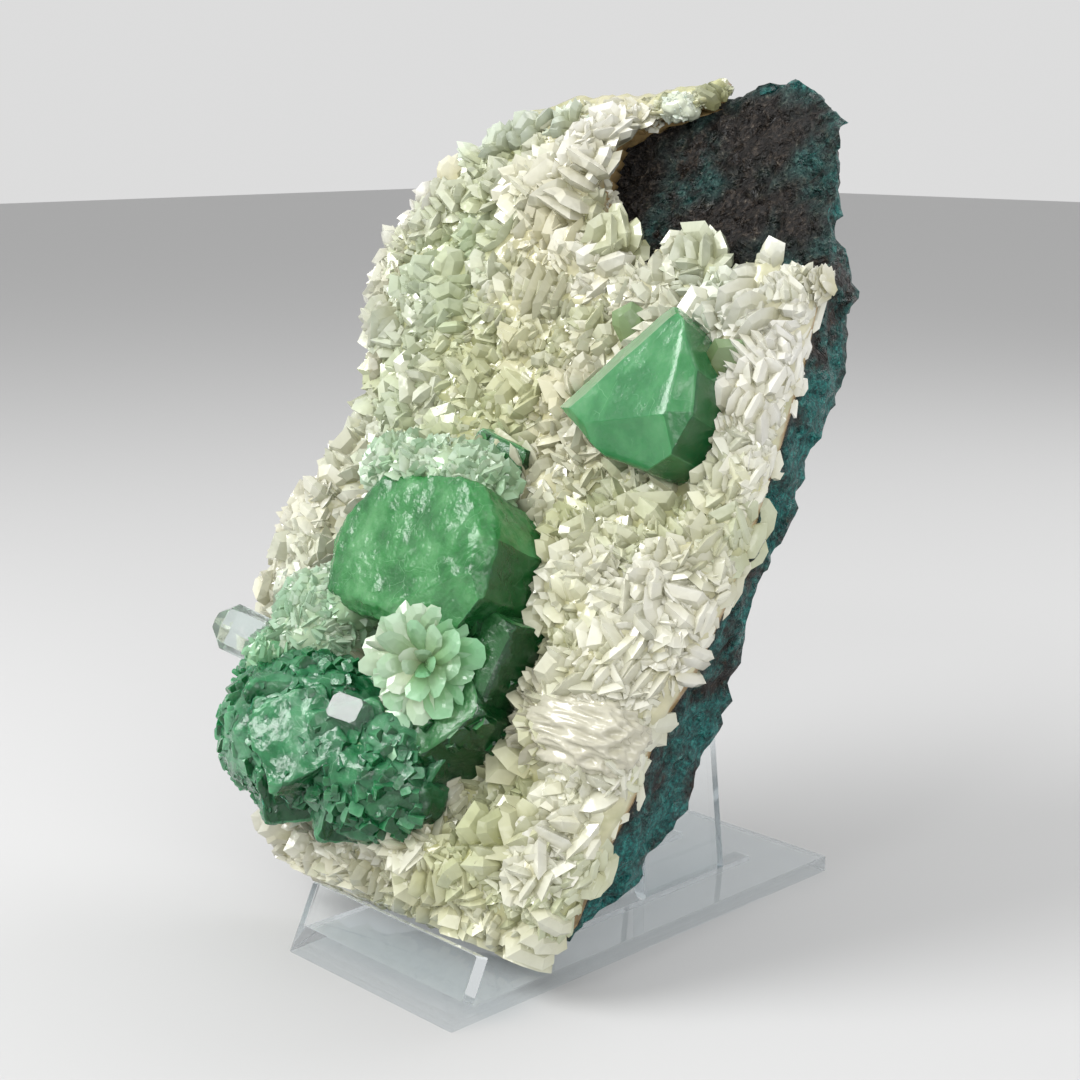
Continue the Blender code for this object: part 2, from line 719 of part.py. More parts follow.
def build_fin(name, centre_x, shift, collection, material):
    """An upright sheet: rounded lower corners, a back edge that leans forward."""
    outline = arc((FIN_FRONT + FIN_CORNER, FIN_CORNER), FIN_CORNER, 180, 270, 5)
    back_corner = (FIN_BACK - FIN_BACK_CORNER, FIN_BACK_CORNER)
    outline += arc(back_corner, FIN_BACK_CORNER, 270, 360, 5)
    outline += [
        (FIN_TOP_BACK, FIN_HEIGHT - FIN_TOP_CORNER), (FIN_TOP_BACK - FIN_TOP_CORNER, FIN_HEIGHT),
        (FIN_TOP_FRONT, FIN_HEIGHT), (FIN_FRONT, FIN_SHOULDER),
    ]
    outline = [(y + shift, z) for y, z in outline]
    mesh = extrude_outline(name, outline, FIN_THICKNESS / 2, centre_x)
    return add_object(name, mesh, collection, material)


def main():
    clear_scene()
    parts = new_collection("green_apophyllite")
    cutters = new_collection("cutters")
    basalt_dark = make_material("basalt", (0.035, 0.045, 0.04), 0.85)
    stilbite = make_material("stilbite", (0.62, 0.62, 0.47), 0.35)
    stilbite_green = make_material("green_stilbite", (0.45, 0.62, 0.42), 0.3)
    green = make_material("green_crystal", (0.08, 0.45, 0.18), 0.15)
    colourless = make_material("colourless_crystal", (0.8, 0.82, 0.84), 0.05)
    acrylic = make_material("acrylic", (0.85, 0.87, 0.88), 0.03)

    build_stand_base(parts, cutters, acrylic)
    build_fin("back_fin_right", SLOT_CENTRE, 0.0, parts, acrylic)
    build_fin("back_fin_left", -SLOT_CENTRE, LEFT_FIN_SHIFT, parts, acrylic)

    frame = bpy.data.objects.new("specimen_frame", None)
    parts.objects.link(frame)
    frame.location = SPECIMEN_ORIGIN
    frame.rotation_euler = (-LEAN, 0.0, 0.0)

    build_basalt(parts, basalt_dark, frame)
    back = build_back_cutter(cutters, frame)

    upper = build_tablet(
        "upper_apophyllite", UPPER_OUTLINE, UPPER_ROOT, UPPER_FRONT,
        (((0, 1), 7.0 * MM), ((7, 8), 3.0 * MM), ((4, 7), 5.0 * MM)), parts, green, frame,
    )
    middle = build_tablet(
        "middle_apophyllite", MIDDLE_OUTLINE, MIDDLE_ROOT, MIDDLE_FRONT,
        (((0, 2), 5.0 * MM), ((7, 10), 4.0 * MM), ((4, 6), 4.0 * MM)), parts, green, frame,
    )
    inner = build_cluster("inner_apophyllite", INNER_BLOCKS, parts, cutters, green, frame)
    small = build_cluster("small_apophyllite", SMALL_BLOCKS, parts, cutters, green, frame)
    lower = build_cluster("lower_apophyllite_cluster", LOWER_BLOCKS, parts, cutters, green, frame)
    rosette = build_rosette(parts, cutters, stilbite_green, frame)
    clear = build_colourless(parts, colourless, frame)

    crystals = (upper, middle, inner, small, lower, clear, rosette)
    for crystal in crystals:
        add_boolean(crystal, back, "DIFFERENCE")
    placed = []
    for crystal in crystals:
        for cutter in placed:
            add_boolean(crystal, cutter, "DIFFERENCE", solver="MANIFOLD")
        bake_modifiers(crystal)
        keep_largest_body(crystal)
        placed.append(enlarged_copy(crystal, cutters, CLEARANCE))

    crust = build_crust_slab(parts, stilbite, frame)
    add_boolean(crust, build_patch_cutter(cutters, frame), "DIFFERENCE", solver="MANIFOLD")
    blades = rest_blades() + white_fan() + scatter_blades()
    fuse_blades(crust, blades, BLADE_REACH, cutters, frame)
    for cutter in [back] + placed:
        add_boolean(crust, cutter, "DIFFERENCE", solver="MANIFOLD")
    bake_modifiers(crust)
    keep_largest_body(crust)


main()
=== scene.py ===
import math
import random

import bmesh
import bpy
from mathutils import Matrix, Vector, noise


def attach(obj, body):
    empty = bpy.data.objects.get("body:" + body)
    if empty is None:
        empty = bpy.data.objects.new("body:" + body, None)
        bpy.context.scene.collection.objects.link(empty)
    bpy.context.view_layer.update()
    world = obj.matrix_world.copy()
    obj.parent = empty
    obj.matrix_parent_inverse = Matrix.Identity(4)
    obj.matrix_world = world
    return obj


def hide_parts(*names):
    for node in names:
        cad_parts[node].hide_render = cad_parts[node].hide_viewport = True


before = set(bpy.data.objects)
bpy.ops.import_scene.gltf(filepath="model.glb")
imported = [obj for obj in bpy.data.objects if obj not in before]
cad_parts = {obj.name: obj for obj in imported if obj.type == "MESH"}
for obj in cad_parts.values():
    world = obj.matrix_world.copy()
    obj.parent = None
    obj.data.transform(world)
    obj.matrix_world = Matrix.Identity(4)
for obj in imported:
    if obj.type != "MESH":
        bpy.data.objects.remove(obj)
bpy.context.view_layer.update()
print("frame loaded")

mm = 0.001


# The specimen is shaped upright: X runs across the plate, Z up it, and -Y out of its front.
# It is then leaned back onto the stand by one matrix.
plate = {
    "origin": (43.95 * mm, -43.9 * mm, 17.4 * mm),
    "lean": math.radians(-26.8),
    # height, then the left and right edge there
    "sides": (
        (-8, -98, -7), (5, -105, 0), (20, -113, 1), (40, -127, 5), (58, -137, 5), (75, -140, 11),
        (90, -137, 13), (104, -130, 15), (120, -125, 14), (140, -130, 14), (160, -138, 13),
        (178, -139, 11), (190, -131, 8), (205, -117, 3), (222, -106, 0), (240, -98, -5),
    ),
    # share of the width, then the bottom and the top edge there
    "ends": (
        (0.00, -5, 222), (0.15, -7, 228), (0.35, -7, 230), (0.55, -6, 234), (0.68, -6, 240),
        (0.77, -5, 245), (0.88, -4, 240), (1.00, 1, 231),
    ),
    # height, then the thickness at the right side and along the middle
    "depths": (
        (-8, 3, 6), (3, 7, 12), (10, 12, 16), (18, 21, 21), (34, 26, 25), (51, 28, 26),
        (67, 26, 27), (80, 20, 27), (104, 13, 26), (128, 17, 26), (150, 20, 27), (176, 24, 26),
        (190, 25, 25), (200, 12, 20), (215, 9, 16), (232, 6, 10), (245, 4, 6),
    ),
    "barePatch": (
        (-40, 270), (-43, 233), (-53, 229), (-62, 225), (-72, 218), (-71, 205), (-66, 194),
        (-55, 186), (-47, 175), (-39, 174), (-40, 184), (-31, 189), (-20, 183), (-12, 180),
        (-4, 184), (40, 185), (40, 270),
    ),
    "frontRise": 14.0 * mm,
    "riseStart": -15.0 * mm,
    "riseEnd": -140.0 * mm,
    "backInset": 5.0 * mm,
    "leftThinning": 0.55,
    "bump": 4.6 * mm,
}
toRow = Matrix.Translation(plate["origin"]) @ Matrix.Rotation(plate["lean"], 4, "X")


def onPlate(across, up, over):
    return Vector((across * mm, -over * mm, up * mm))


def atSpot(spot):
    across, over, up = spot
    return onPlate(across, up, over)


def outward(direction):
    across, out, rise = direction
    return Vector((across, -out, rise)).normalized()


def onLump(centre, halves, way):
    # where a lump's skin lies in one direction from its centre
    return onPlate(
        centre[0] + halves[0] * way.x, centre[2] + halves[2] * way.z, centre[1] - halves[1] * way.y,
    )


def anyWay(chance):
    return Vector([chance.gauss(0.0, 1.0) for _ in range(3)])


def frontWay(chance):
    way = anyWay(chance).normalized()
    way.y = -abs(way.y)
    return way


def makeSmooth(bm):
    for face in bm.faces:
        face.smooth = True


def cutSides(bm, front, cuts):
    # rows of points between the front and the back of a plate
    frontSet = set(front)
    sides = [edge for edge in bm.edges if (edge.verts[0] in frontSet) != (edge.verts[1] in frontSet)]
    bmesh.ops.subdivide_edges(bm, edges=sides, cuts=cuts, use_grid_fill=True)
    bm.normal_update()


def joinInto(bm, made):
    mesh = bpy.data.meshes.new("joined")
    made.to_mesh(mesh)
    made.free()
    bm.from_mesh(mesh)
    bpy.data.meshes.remove(mesh)


def tableValue(table, at, column):
    for low, high in zip(table, table[1:]):
        if at <= high[0]:
            share = min(max((at - low[0]) / (high[0] - low[0]), 0.0), 1.0)
            return low[column] + (high[column] - low[column]) * share
    return table[-1][column]


def frontHeight(across):
    share = (across - plate["riseStart"]) / (plate["riseEnd"] - plate["riseStart"])
    return plate["frontRise"] * min(max(share, 0.0), 1.1) ** 1.3


def outlinePlace(shareAcross, shareUp, margin):
    bottom = tableValue(plate["ends"], shareAcross, 1) * mm - margin
    top = tableValue(plate["ends"], shareAcross, 2) * mm + margin
    up = bottom + (top - bottom) * shareUp
    left = tableValue(plate["sides"], up / mm, 1) * mm - margin
    right = tableValue(plate["sides"], up / mm, 2) * mm
    return left + (right - left) * shareAcross, up


def insideOutline(x, z, outline):
    inside = False
    for (ax, az), (bx, bz) in zip(outline, outline[1:] + outline[:1]):
        if (az > z) != (bz > z) and x < ax + (z - az) * (bx - ax) / (bz - az):
            inside = not inside
    return inside


def rough(point, scale):
    return noise.fractal(point * scale, 0.8, 2.1, 3)


def finishPiece(name, bm, materials, replaced=()):
    mesh = bpy.data.meshes.new(name)
    bm.to_mesh(mesh)
    bm.free()
    mesh.transform(toRow)
    piece = bpy.data.objects.new(name, mesh)
    bpy.context.scene.collection.objects.link(piece)
    for material in materials:
        mesh.materials.append(material)
    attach(piece, "root")
    if replaced:
        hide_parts(*replaced)


# ---- materials ----

def tone(red, green, blue):
    return tuple((value / 255.0) ** 2.2 for value in (red, green, blue)) + (1.0,)


def setInputs(tree, node, values):
    # a socket among the values is linked, anything else is set
    for key, value in values.items():
        if isinstance(value, bpy.types.NodeSocket):
            tree.links.new(value, node.inputs[key])
        else:
            node.inputs[key].default_value = value


def addNode(tree, kind, values, **settings):
    node = tree.nodes.new(f"ShaderNode{kind}")
    for key, value in settings.items():
        setattr(node, key, value)
    setInputs(tree, node, values)
    return node


def addNoise(tree, place, scale, detail, **values):
    noiseNode = addNode(tree, "TexNoise", {"Vector": place, "Scale": scale, "Detail": detail, **values})
    return noiseNode.outputs["Fac"]


def addMath(tree, operation, *values):
    return addNode(tree, "Math", dict(enumerate(values)), operation=operation).outputs["Value"]


def addVectorMath(tree, operation, values):
    return addNode(tree, "VectorMath", values, operation=operation).outputs["Vector"]


def objectPlace(tree):
    return addNode(tree, "TexCoord", {}).outputs["Object"]


def mark(tree, name, output="Fac"):
    # what a mesh carries under a name
    return addNode(tree, "Attribute", {}, attribute_name=name).outputs[output]


def newMaterial(name):
    material = bpy.data.materials.new(name)
    material.use_nodes = True
    return material, material.node_tree, material.node_tree.nodes["Principled BSDF"]


def ramp(tree, source, stops):
    node = addNode(tree, "ValToRGB", {"Fac": source})
    while len(node.color_ramp.elements) < len(stops):
        node.color_ramp.elements.new(0.5)
    for element, (place, colour) in zip(node.color_ramp.elements, stops):
        element.position = place
        element.color = colour
    return node.outputs["Color"]


def grey(value):
    return (value, value, value, 1.0)


def mixColours(tree, factor, first, second, blend="MIX"):
    node = addNode(
        tree, "Mix", {"Factor": factor, "A": first, "B": second}, data_type="RGBA", blend_type=blend,
    )
    return node.outputs["Result"]


def newGroup(name, inputs, outputs):
    # sockets by name: the inputs with their starting value, a vector where that is None
    group = bpy.data.node_groups.new(name, "ShaderNodeTree")
    for label, start in inputs.items():
        kind = "Vector" if start is None else "Float"
        socket = group.interface.new_socket(label, in_out="INPUT", socket_type=f"NodeSocket{kind}")
        if start is not None:
            socket.default_value = start
    for label, kind in outputs.items():
        group.interface.new_socket(label, in_out="OUTPUT", socket_type=f"NodeSocket{kind}")
    return group, group.nodes.new("NodeGroupInput").outputs, group.nodes.new("NodeGroupOutput")


def makeGrainGroup():
    # cloudy patches, fine veins and a bump height, all from the object's own coordinates
    group, given, end = newGroup(
        "crystalGrain", {"Cloud Scale": 60.0, "Vein Scale": 90.0, "Vein Width": 0.03},
        {"Cloud": "Float", "Veins": "Float", "Height": "Float"},
    )
    place = objectPlace(group)
    cloud = addNoise(group, place, given["Cloud Scale"], 4.0, Roughness=0.55)
    bent = addNode(group, "TexNoise", {"Vector": place, "Scale": 70.0, "Detail": 2.0})
    shifted = addVectorMath(group, "MULTIPLY_ADD", {
        0: bent.outputs["Color"], 1: (0.02, 0.02, 0.02), 2: place,
    })
    cells = addNode(group, "TexVoronoi", {
        "Vector": shifted, "Scale": given["Vein Scale"],
    }, feature="DISTANCE_TO_EDGE")
    line = addNode(group, "MapRange", {
        "Value": cells.outputs["Distance"], "From Min": 0.0, "From Max": given["Vein Width"],
        "To Min": 1.0, "To Max": 0.0,
    })
    # veins show only here and there
    gate = addNode(group, "MapRange", {
        "Value": addNoise(group, place, 110.0, 1.0), "From Min": 0.5, "From Max": 0.62,
    })
    veins = addMath(group, "MULTIPLY", line.outputs["Result"], gate.outputs["Result"])
    fine = addNoise(group, place, 900.0, 3.0)
    setInputs(group, end, {"Cloud": cloud, "Veins": veins, "Height": fine})
    return group


def makeFacetGroup():
    # tilts the surface a little in every small cell, so that some of them glint
    group, given, end = newGroup(
        "smallFacets", {"Surface": None, "Scale": 300.0, "Tilt": 0.2}, {"Normal": "Vector"},
    )
    cells = addNode(group, "TexVoronoi", {"Vector": objectPlace(group), "Scale": given["Scale"]})
    centred = addVectorMath(group, "SUBTRACT", {0: cells.outputs["Color"], 1: (0.5, 0.5, 0.5)})
    tilted = addVectorMath(group, "SCALE", {0: centred, "Scale": given["Tilt"]})
    added = addVectorMath(group, "ADD", {0: tilted, 1: given["Surface"]})
    setInputs(group, end, {"Normal": addVectorMath(group, "NORMALIZE", {0: added})})
    return group


crystalGrain = makeGrainGroup()
smallFacets = makeFacetGroup()


def addGrain(tree, cloudScale, veinScale, veinWidth):
    values = {"Cloud Scale": cloudScale, "Vein Scale": veinScale, "Vein Width": veinWidth}
    return addNode(tree, "Group", values, node_tree=crystalGrain).outputs


def bumpFrom(tree, shader, height, strength, distance, facets=None):
    bump = addNode(tree, "Bump", {"Height": height, "Strength": strength, "Distance": distance})
    normal = bump.outputs["Normal"]
    if facets:
        values = {"Surface": normal, "Scale": facets[0], "Tilt": facets[1]}
        normal = addNode(tree, "Group", values, node_tree=smallFacets).outputs["Normal"]
    setInputs(tree, shader, {"Normal": normal})


def letLightThrough(tree, shader, share, colour, deepest=40.0):
    # shadow rays, bounced rays and rays bent too often pass straight through
    path = addNode(tree, "LightPath", {}).outputs
    deep = addMath(tree, "GREATER_THAN", path["Ray Depth"], deepest)
    indirect = addMath(tree, "MAXIMUM", path["Is Shadow Ray"], path["Is Diffuse Ray"])
    passed = addMath(tree, "MULTIPLY", addMath(tree, "MAXIMUM", indirect, deep), share)
    through = addNode(tree, "BsdfTransparent", {"Color": colour})
    mixed = addNode(tree, "MixShader", {
        "Fac": passed, 1: shader.outputs["BSDF"], 2: through.outputs["BSDF"],
    })
    setInputs(tree, tree.nodes["Material Output"], {"Surface": mixed.outputs["Shader"]})


def makeStilbite(name, look):
    # pearly blades: the tint rides on the mesh, the tip is paler than the foot
    material, tree, shader = newMaterial(name)
    tint = mark(tree, "tint", "Color")
    place = objectPlace(tree)
    foot = mixColours(tree, look["footDepth"], tint, look["foot"], "MULTIPLY")
    colour = mixColours(tree, mark(tree, "reach"), foot, tint)
    cloudy = ramp(tree, addNoise(tree, place, 150.0, 2.0), look["clouds"])
    setInputs(tree, shader, {
        "Base Color": mixColours(tree, 1.0, colour, cloudy, "MULTIPLY"), "IOR": 1.5,
        "Roughness": look["roughness"], "Coat Weight": 0.6, "Coat Roughness": 0.05,
    })
    bumpFrom(tree, shader, addNoise(tree, place, 700.0, 0.0), 0.25, 0.0004, (300.0, 0.22))
    letLightThrough(tree, shader, look["through"], (0.94, 0.94, 0.88, 1.0))
    return material


def makeGreen(name, look):
    # cloudy green crystal: clouds, pale veins, growth lines along one direction, and painted shade on
    # the faces turned away from the light
    material, tree, shader = newMaterial(name)
    grain = addGrain(tree, look["cloudScale"], look["veinScale"], look["veinWidth"])
    colour = ramp(tree, grain["Cloud"], (
        (0.38, look["deep"]), (0.5, look["middle"]), (0.62, look["pale"]),
    ))
    # the last colour laid over is painted shade, on the faces turned away from the light
    for factor, over in (
        (mark(tree, "frost"), "frost"), (grain["Veins"], "vein"), (mark(tree, "paintedShade"), "paintedShade"),
    ):
        colour = mixColours(tree, factor, colour, look[over])
    turn = addNode(tree, "Mapping", {"Vector": objectPlace(tree), "Rotation": look["lineTurn"]})
    lines = addNode(tree, "TexWave", {
        "Vector": turn.outputs["Vector"], "Scale": look["lineScale"], "Distortion": 3.0,
        "Detail": 3.0, "Detail Scale": 2.0,
    }, wave_profile="SAW")
    height = addMath(tree, "MULTIPLY_ADD", lines.outputs["Fac"], look["lineShare"], grain["Height"])
    bumpFrom(tree, shader, height, look["bump"], 0.0006, look["facets"])
    setInputs(tree, shader, {
        "Base Color": colour, "Roughness": look["roughness"], "IOR": 1.535,
        "Transmission Weight": 0.35, "Subsurface Weight": look["subsurface"],
        "Subsurface Radius": (0.5, 1.0, 0.6), "Subsurface Scale": 0.006,
        "Coat Weight": 0.12, "Coat Roughness": 0.1,
    })
    return material


def makeColourless():
    material, tree, shader = newMaterial("colourlessCrystal")
    grain = addGrain(tree, 130.0, 160.0, 0.06)
    colour = mixColours(tree, grain["Veins"], tone(225, 235, 232), tone(250, 250, 250))
    setInputs(tree, shader, {
        "Base Color": colour, "Roughness": 0.03, "IOR": 1.535, "Transmission Weight": 0.9,
    })
    bumpFrom(tree, shader, grain["Height"], 0.12, 0.0005)
    return material


def makeRock():
    # dark basalt on the front, a blue-green rind on the sides and back
    material, tree, shader = newMaterial("basaltRock")
    place = objectPlace(tree)
    patches = addNoise(tree, place, 42.0, 5.0, Roughness=0.72)
    grains = addNoise(tree, place, 700.0, 3.0, Roughness=0.7)
    cells = addNode(tree, "TexVoronoi", {"Vector": place, "Scale": 420.0})
    dark = ramp(tree, grains, (
        (0.3, tone(10, 8, 8)), (0.5, tone(32, 27, 24)), (0.64, tone(68, 60, 53)),
        (0.78, tone(134, 126, 114)),
    ))
    brown = ramp(tree, grains, (
        (0.32, tone(10, 9, 8)), (0.55, tone(36, 30, 24)), (0.75, tone(84, 64, 46)),
    ))
    teal = ramp(tree, grains, (
        (0.28, tone(10, 38, 40)), (0.48, tone(24, 98, 96)), (0.68, tone(56, 146, 138)),
        (0.85, tone(100, 168, 156)),
    ))
    tealShare = ramp(tree, patches, ((0.42, grey(0.0)), (0.56, grey(1.0))))
    side = mixColours(tree, tealShare, brown, teal)
    setInputs(tree, shader, {
        "Base Color": mixColours(tree, mark(tree, "rind"), dark, side),
        "Roughness": ramp(tree, cells.outputs["Color"], ((0.2, grey(0.22)), (0.6, grey(0.6)))),
    })
    ridges = addNoise(tree, place, 170.0, 5.0, Roughness=0.62, Distortion=0.6)
    height = addMath(tree, "MULTIPLY_ADD", ridges, 3.0, grains)
    bumpFrom(tree, shader, height, 1.0, 0.0028, (500.0, 0.5))
    return material


def makeAcrylic():
    # clear sheet with a few hair scratches
    material, tree, shader = newMaterial("clearAcrylic")
    stretched = addNode(tree, "Mapping", {
        "Vector": objectPlace(tree), "Scale": (1.0, 0.05, 1.0), "Rotation": (0.0, 0.0, 0.6),
    })
    scratches = addNoise(tree, stretched.outputs["Vector"], 1800.0, 2.0)
    setInputs(tree, shader, {
        "Base Color": (0.96, 0.98, 0.985, 1.0), "IOR": 1.49, "Transmission Weight": 1.0,
        "Roughness": ramp(tree, scratches, ((0.68, grey(0.02)), (0.75, grey(0.12)))),
    })
    bumpFrom(tree, shader, scratches, 0.02, 0.0002)
    inside = addNode(tree, "VolumeAbsorption", {"Color": (0.8, 0.9, 0.92, 1.0), "Density": 4.0})
    setInputs(tree, tree.nodes["Material Output"], {"Volume": inside.outputs["Volume"]})
    letLightThrough(tree, shader, 1.0, (0.92, 0.94, 0.95, 1.0), 3.0)
    return material


stilbite = makeStilbite("stilbiteBlades", {
    "foot": tone(226, 222, 194), "footDepth": 1.0, "roughness": 0.2, "through": 0.72,
    "clouds": ((0.3, (0.82, 0.81, 0.79, 1.0)), (0.7, (0.91, 0.905, 0.9, 1.0))),
})
# each green's shade colour is painted shade, for the faces turned away from the light
upperGreen = makeGreen("upperGreen", {
    "deep": tone(54, 132, 78), "middle": tone(74, 152, 94), "pale": tone(104, 172, 118),
    "frost": tone(150, 184, 148), "vein": tone(112, 178, 126), "paintedShade": tone(30, 92, 50),
    "cloudScale": 60.0, "veinScale": 90.0, "veinWidth": 0.01,
    "lineTurn": (0.3, 0.2, 0.9), "lineScale": 60.0, "lineShare": 0.12, "facets": (170.0, 0.07),
    "bump": 0.2, "roughness": 0.22, "subsurface": 0.5,
})
middleGreen = makeGreen("middleGreen", {
    "deep": tone(42, 118, 60), "middle": tone(64, 144, 78), "pale": tone(98, 168, 106),
    "frost": tone(150, 196, 152), "vein": tone(118, 182, 126), "paintedShade": tone(20, 76, 36),
    "cloudScale": 70.0, "veinScale": 110.0, "veinWidth": 0.012,
    "lineTurn": (0.4, 0.1, 0.3), "lineScale": 70.0, "lineShare": 0.4, "facets": (380.0, 0.2),
    "bump": 0.45, "roughness": 0.24, "subsurface": 0.45,
})
lowerGreen = makeGreen("lowerGreen", {
    "deep": tone(34, 110, 66), "middle": tone(54, 136, 86), "pale": tone(96, 168, 120),
    "frost": tone(138, 192, 154), "vein": tone(126, 188, 144), "paintedShade": tone(22, 84, 46),
    "cloudScale": 80.0, "veinScale": 120.0, "veinWidth": 0.02,
    "lineTurn": (0.7, 0.5, 0.2), "lineScale": 110.0, "lineShare": 0.2, "facets": (420.0, 0.34),
    "bump": 0.35, "roughness": 0.2, "subsurface": 0.45,
})
colourless = makeColourless()
rock = makeRock()
acrylic = makeAcrylic()
print("materials made")


# ---- basalt plate ----

basalt = {
    "columns": 70,
    "rows": 112,
    "sideCuts": 8,
    "relief": 1.5 * mm,
    "grain": 0.5 * mm,
    "patchRelief": 4.8 * mm,
}


def plateDepth(across, up, shareAcross):
    atSide = tableValue(plate["depths"], up / mm, 1) * mm
    atMiddle = tableValue(plate["depths"], up / mm, 2) * mm
    blend = min((1.0 - shareAcross) / 0.25, 1.0)
    thin = 1.0 - plate["leftThinning"] * max(0.0, 1.0 - shareAcross / 0.75) ** 1.2
    return (atSide + (atMiddle - atSide) * blend) * thin


def gridOverPlate(columns, rows, margin):
    bm = bmesh.new()
    bmesh.ops.create_grid(bm, x_segments=columns, y_segments=rows, size=0.5)
    shares = []
    for vert in bm.verts:
        share = (vert.co.x + 0.5, vert.co.y + 0.5)
        shares.append(share)
        across, up = outlinePlace(*share, margin)
        vert.co = Vector((across, 0.0, up))
    return bm, shares


def extrudeAll(bm):
    front = list(bm.verts)
    made = bmesh.ops.extrude_face_region(bm, geom=list(bm.faces))
    back = [item for item in made["geom"] if isinstance(item, bmesh.types.BMVert)]
    return front, back


def buildBasalt():
    bm, shares = gridOverPlate(basalt["columns"], basalt["rows"], 0.0)
    rind = bm.verts.layers.float.new("rind")
    rear = bm.verts.layers.float.new("rear")
    front, back = extrudeAll(bm)
    for vert, far, share in zip(front, back, shares):
        across, up = vert.co.x, vert.co.z
        height = frontHeight(across)
        vert[rind] = 0.0
        if insideOutline(across / mm, up / mm, plate["barePatch"]):
            lump = rough(Vector((across, 0.0, up)), 55.0)
            fine = rough(Vector((across, 0.3, up)), 190.0)
            height += plate["bump"] * 0.5 * lump + basalt["patchRelief"] * 0.5 * fine - 1.4 * mm
            corner = max(0.0, (across / mm + up / mm - 190.0) / 50.0)
            vert[rind] = min(1.0, 0.8 * max(0.0, corner + 0.9 * rough(Vector((across, 0.7, up)), 50.0)))
        depth = plateDepth(across, up, share[0])
        bump = plate["bump"] * rough(Vector((across, 0.05, up)), 58.0)
        bump = max(bump, -0.35 * depth)
        inset = plate["backInset"] * (share[0] - 0.5) * 2.0
        vert.co.y = -height
        far.co = Vector((across - inset, -height + depth + bump, up))
        far[rear] = 1.0
    cutSides(bm, front, basalt["sideCuts"])
    for vert in bm.verts:
        if vert[rear] == 0.0:
            continue
        vert[rind] = 1.0
        if vert[rear] < 1.0:
            vert.co += vert.normal * plate["bump"] * 0.6 * rough(vert.co, 60.0)
        fine = basalt["relief"] * rough(vert.co, 150.0) + basalt["grain"] * rough(vert.co, 520.0)
        vert.co += vert.normal * fine
    finishPiece("basalt_plate", bm, (rock,), ("basalt_matrix",))


# ---- stilbite crust ----

crust = {
    "thickness": 9.5 * mm,
    "rim": 4.0 * mm,
    "overhang": 3.5 * mm,
    "wave": 4.2 * mm,
    "waveScale": 40.0,
    "heads": 2.4 * mm,
    "headScale": 85.0,
    "edges": (8.0, 14.0, 12.0, 12.0),
    "swellings": (
        (-80, 112, 15, 17), (-99, 52, 15, 15), (-127, 92, 7, 14), (-100, 150, 5, 22),
        (-62, 150, 3, 20), (-70, 205, 5, 20), (-20, 92, 9, 22), (-14, 62, 6, 20),
        (-24, 9, 10, 16), (-46, 6, 8, 16), (-70, 3, 7, 16), (-8, 172, 3, 12), (14, 140, 7, 14),
    ),
    "columns": 84,
    "rows": 130,
    "sideCuts": 3,
    "raised": 0.5 * mm,
    "relief": 1.1 * mm,
    "wallRelief": 0.7 * mm,
    "seed": 7,
    # clusters: spacing, size from and to, places tried, bands that become a piece each
    "broad": (8.8 * mm, 1.1, 1.75, 9000, 3),
    "fine": (4.7 * mm, 0.55, 1.0, 26000, 5),
    "shrinkFrom": 0.9,
    "topShrink": 0.4,
    "root": 4.8 * mm,
    "length": (7.8 * mm, 9.6 * mm),
    "width": (5.5 * mm, 9.5 * mm),
    "thick": (2.4 * mm, 4.2 * mm),
    "patchMargin": 1.5,
    "rimStep": 2.6 * mm,
    "rimInset": 1.8,
    "thinFrom": 0.213,
    "hanging": 34,
    # how far blades reach: past the right edge, to the left, past the top, down
    "limits": (0.6, -148.0, 0.5, -9.2),
}
tints = {
    "white": (236, 236, 230),
    "cream": (217, 216, 196),
    "straw": (192, 196, 150),
    "sand": (208, 202, 168),
    "mint": (172, 195, 160),
    "frost": (208, 219, 203),
    # the next colour is painted shade for the hollows of the crust
    "paintedHollowShade": (184, 192, 150),
    "wall": (184, 158, 124),
}
# broad places of one tint: across, up, radius, tint, strength
tintSpots = (
    (-112, 178, 22, "mint", 0.85), (-106, 160, 20, "mint", 0.6), (-118, 200, 18, "straw", 0.5),
    (-120, 216, 22, "frost", 0.8), (-146, 186, 14, "white", 0.9), (-68, 212, 20, "white", 0.9),
    (-80, 186, 14, "sand", 0.8), (-56, 176, 14, "white", 0.6), (-90, 140, 24, "straw", 0.7),
    (-66, 140, 18, "sand", 0.6), (-120, 145, 18, "frost", 0.5), (-112, 122, 18, "mint", 0.5),
    (-78, 124, 16, "straw", 0.8), (-96, 112, 16, "frost", 0.9), (-88, 114, 13, "mint", 0.6),
    (-140, 86, 16, "cream", 0.6), (-112, 62, 16, "mint", 0.9), (8, 165, 22, "white", 0.95),
    (14, 135, 20, "white", 0.85), (-18, 180, 16, "frost", 0.9), (4, 112, 16, "straw", 0.5),
    (22, 112, 7, "mint", 0.95), (-36, 103, 16, "straw", 0.9), (-14, 94, 16, "white", 0.6),
    (-20, 74, 16, "straw", 0.8), (4, 82, 14, "white", 0.6), (-2, 54, 17, "white", 0.85),
    (-24, 28, 20, "straw", 0.9), (8, 34, 14, "white", 0.8), (0, 14, 16, "white", 0.8),
    (-38, 6, 20, "straw", 0.6), (4, -4, 12, "frost", 0.9), (-80, -2, 24, "cream", 0.6),
)


def crustHeight(across, up):
    extra = 0.0
    for x, z, rise, radius in crust["swellings"]:
        distance = math.hypot(across / mm - x, up / mm - z)
        extra += rise * mm * math.exp(-((distance / radius) ** 2))
    broad = crust["wave"] * rough(Vector((across, 0.11, up)), crust["waveScale"])
    heads = crust["heads"] * rough(Vector((across, 0.43, up)), crust["headScale"])
    return crust["thickness"] + extra + broad + heads


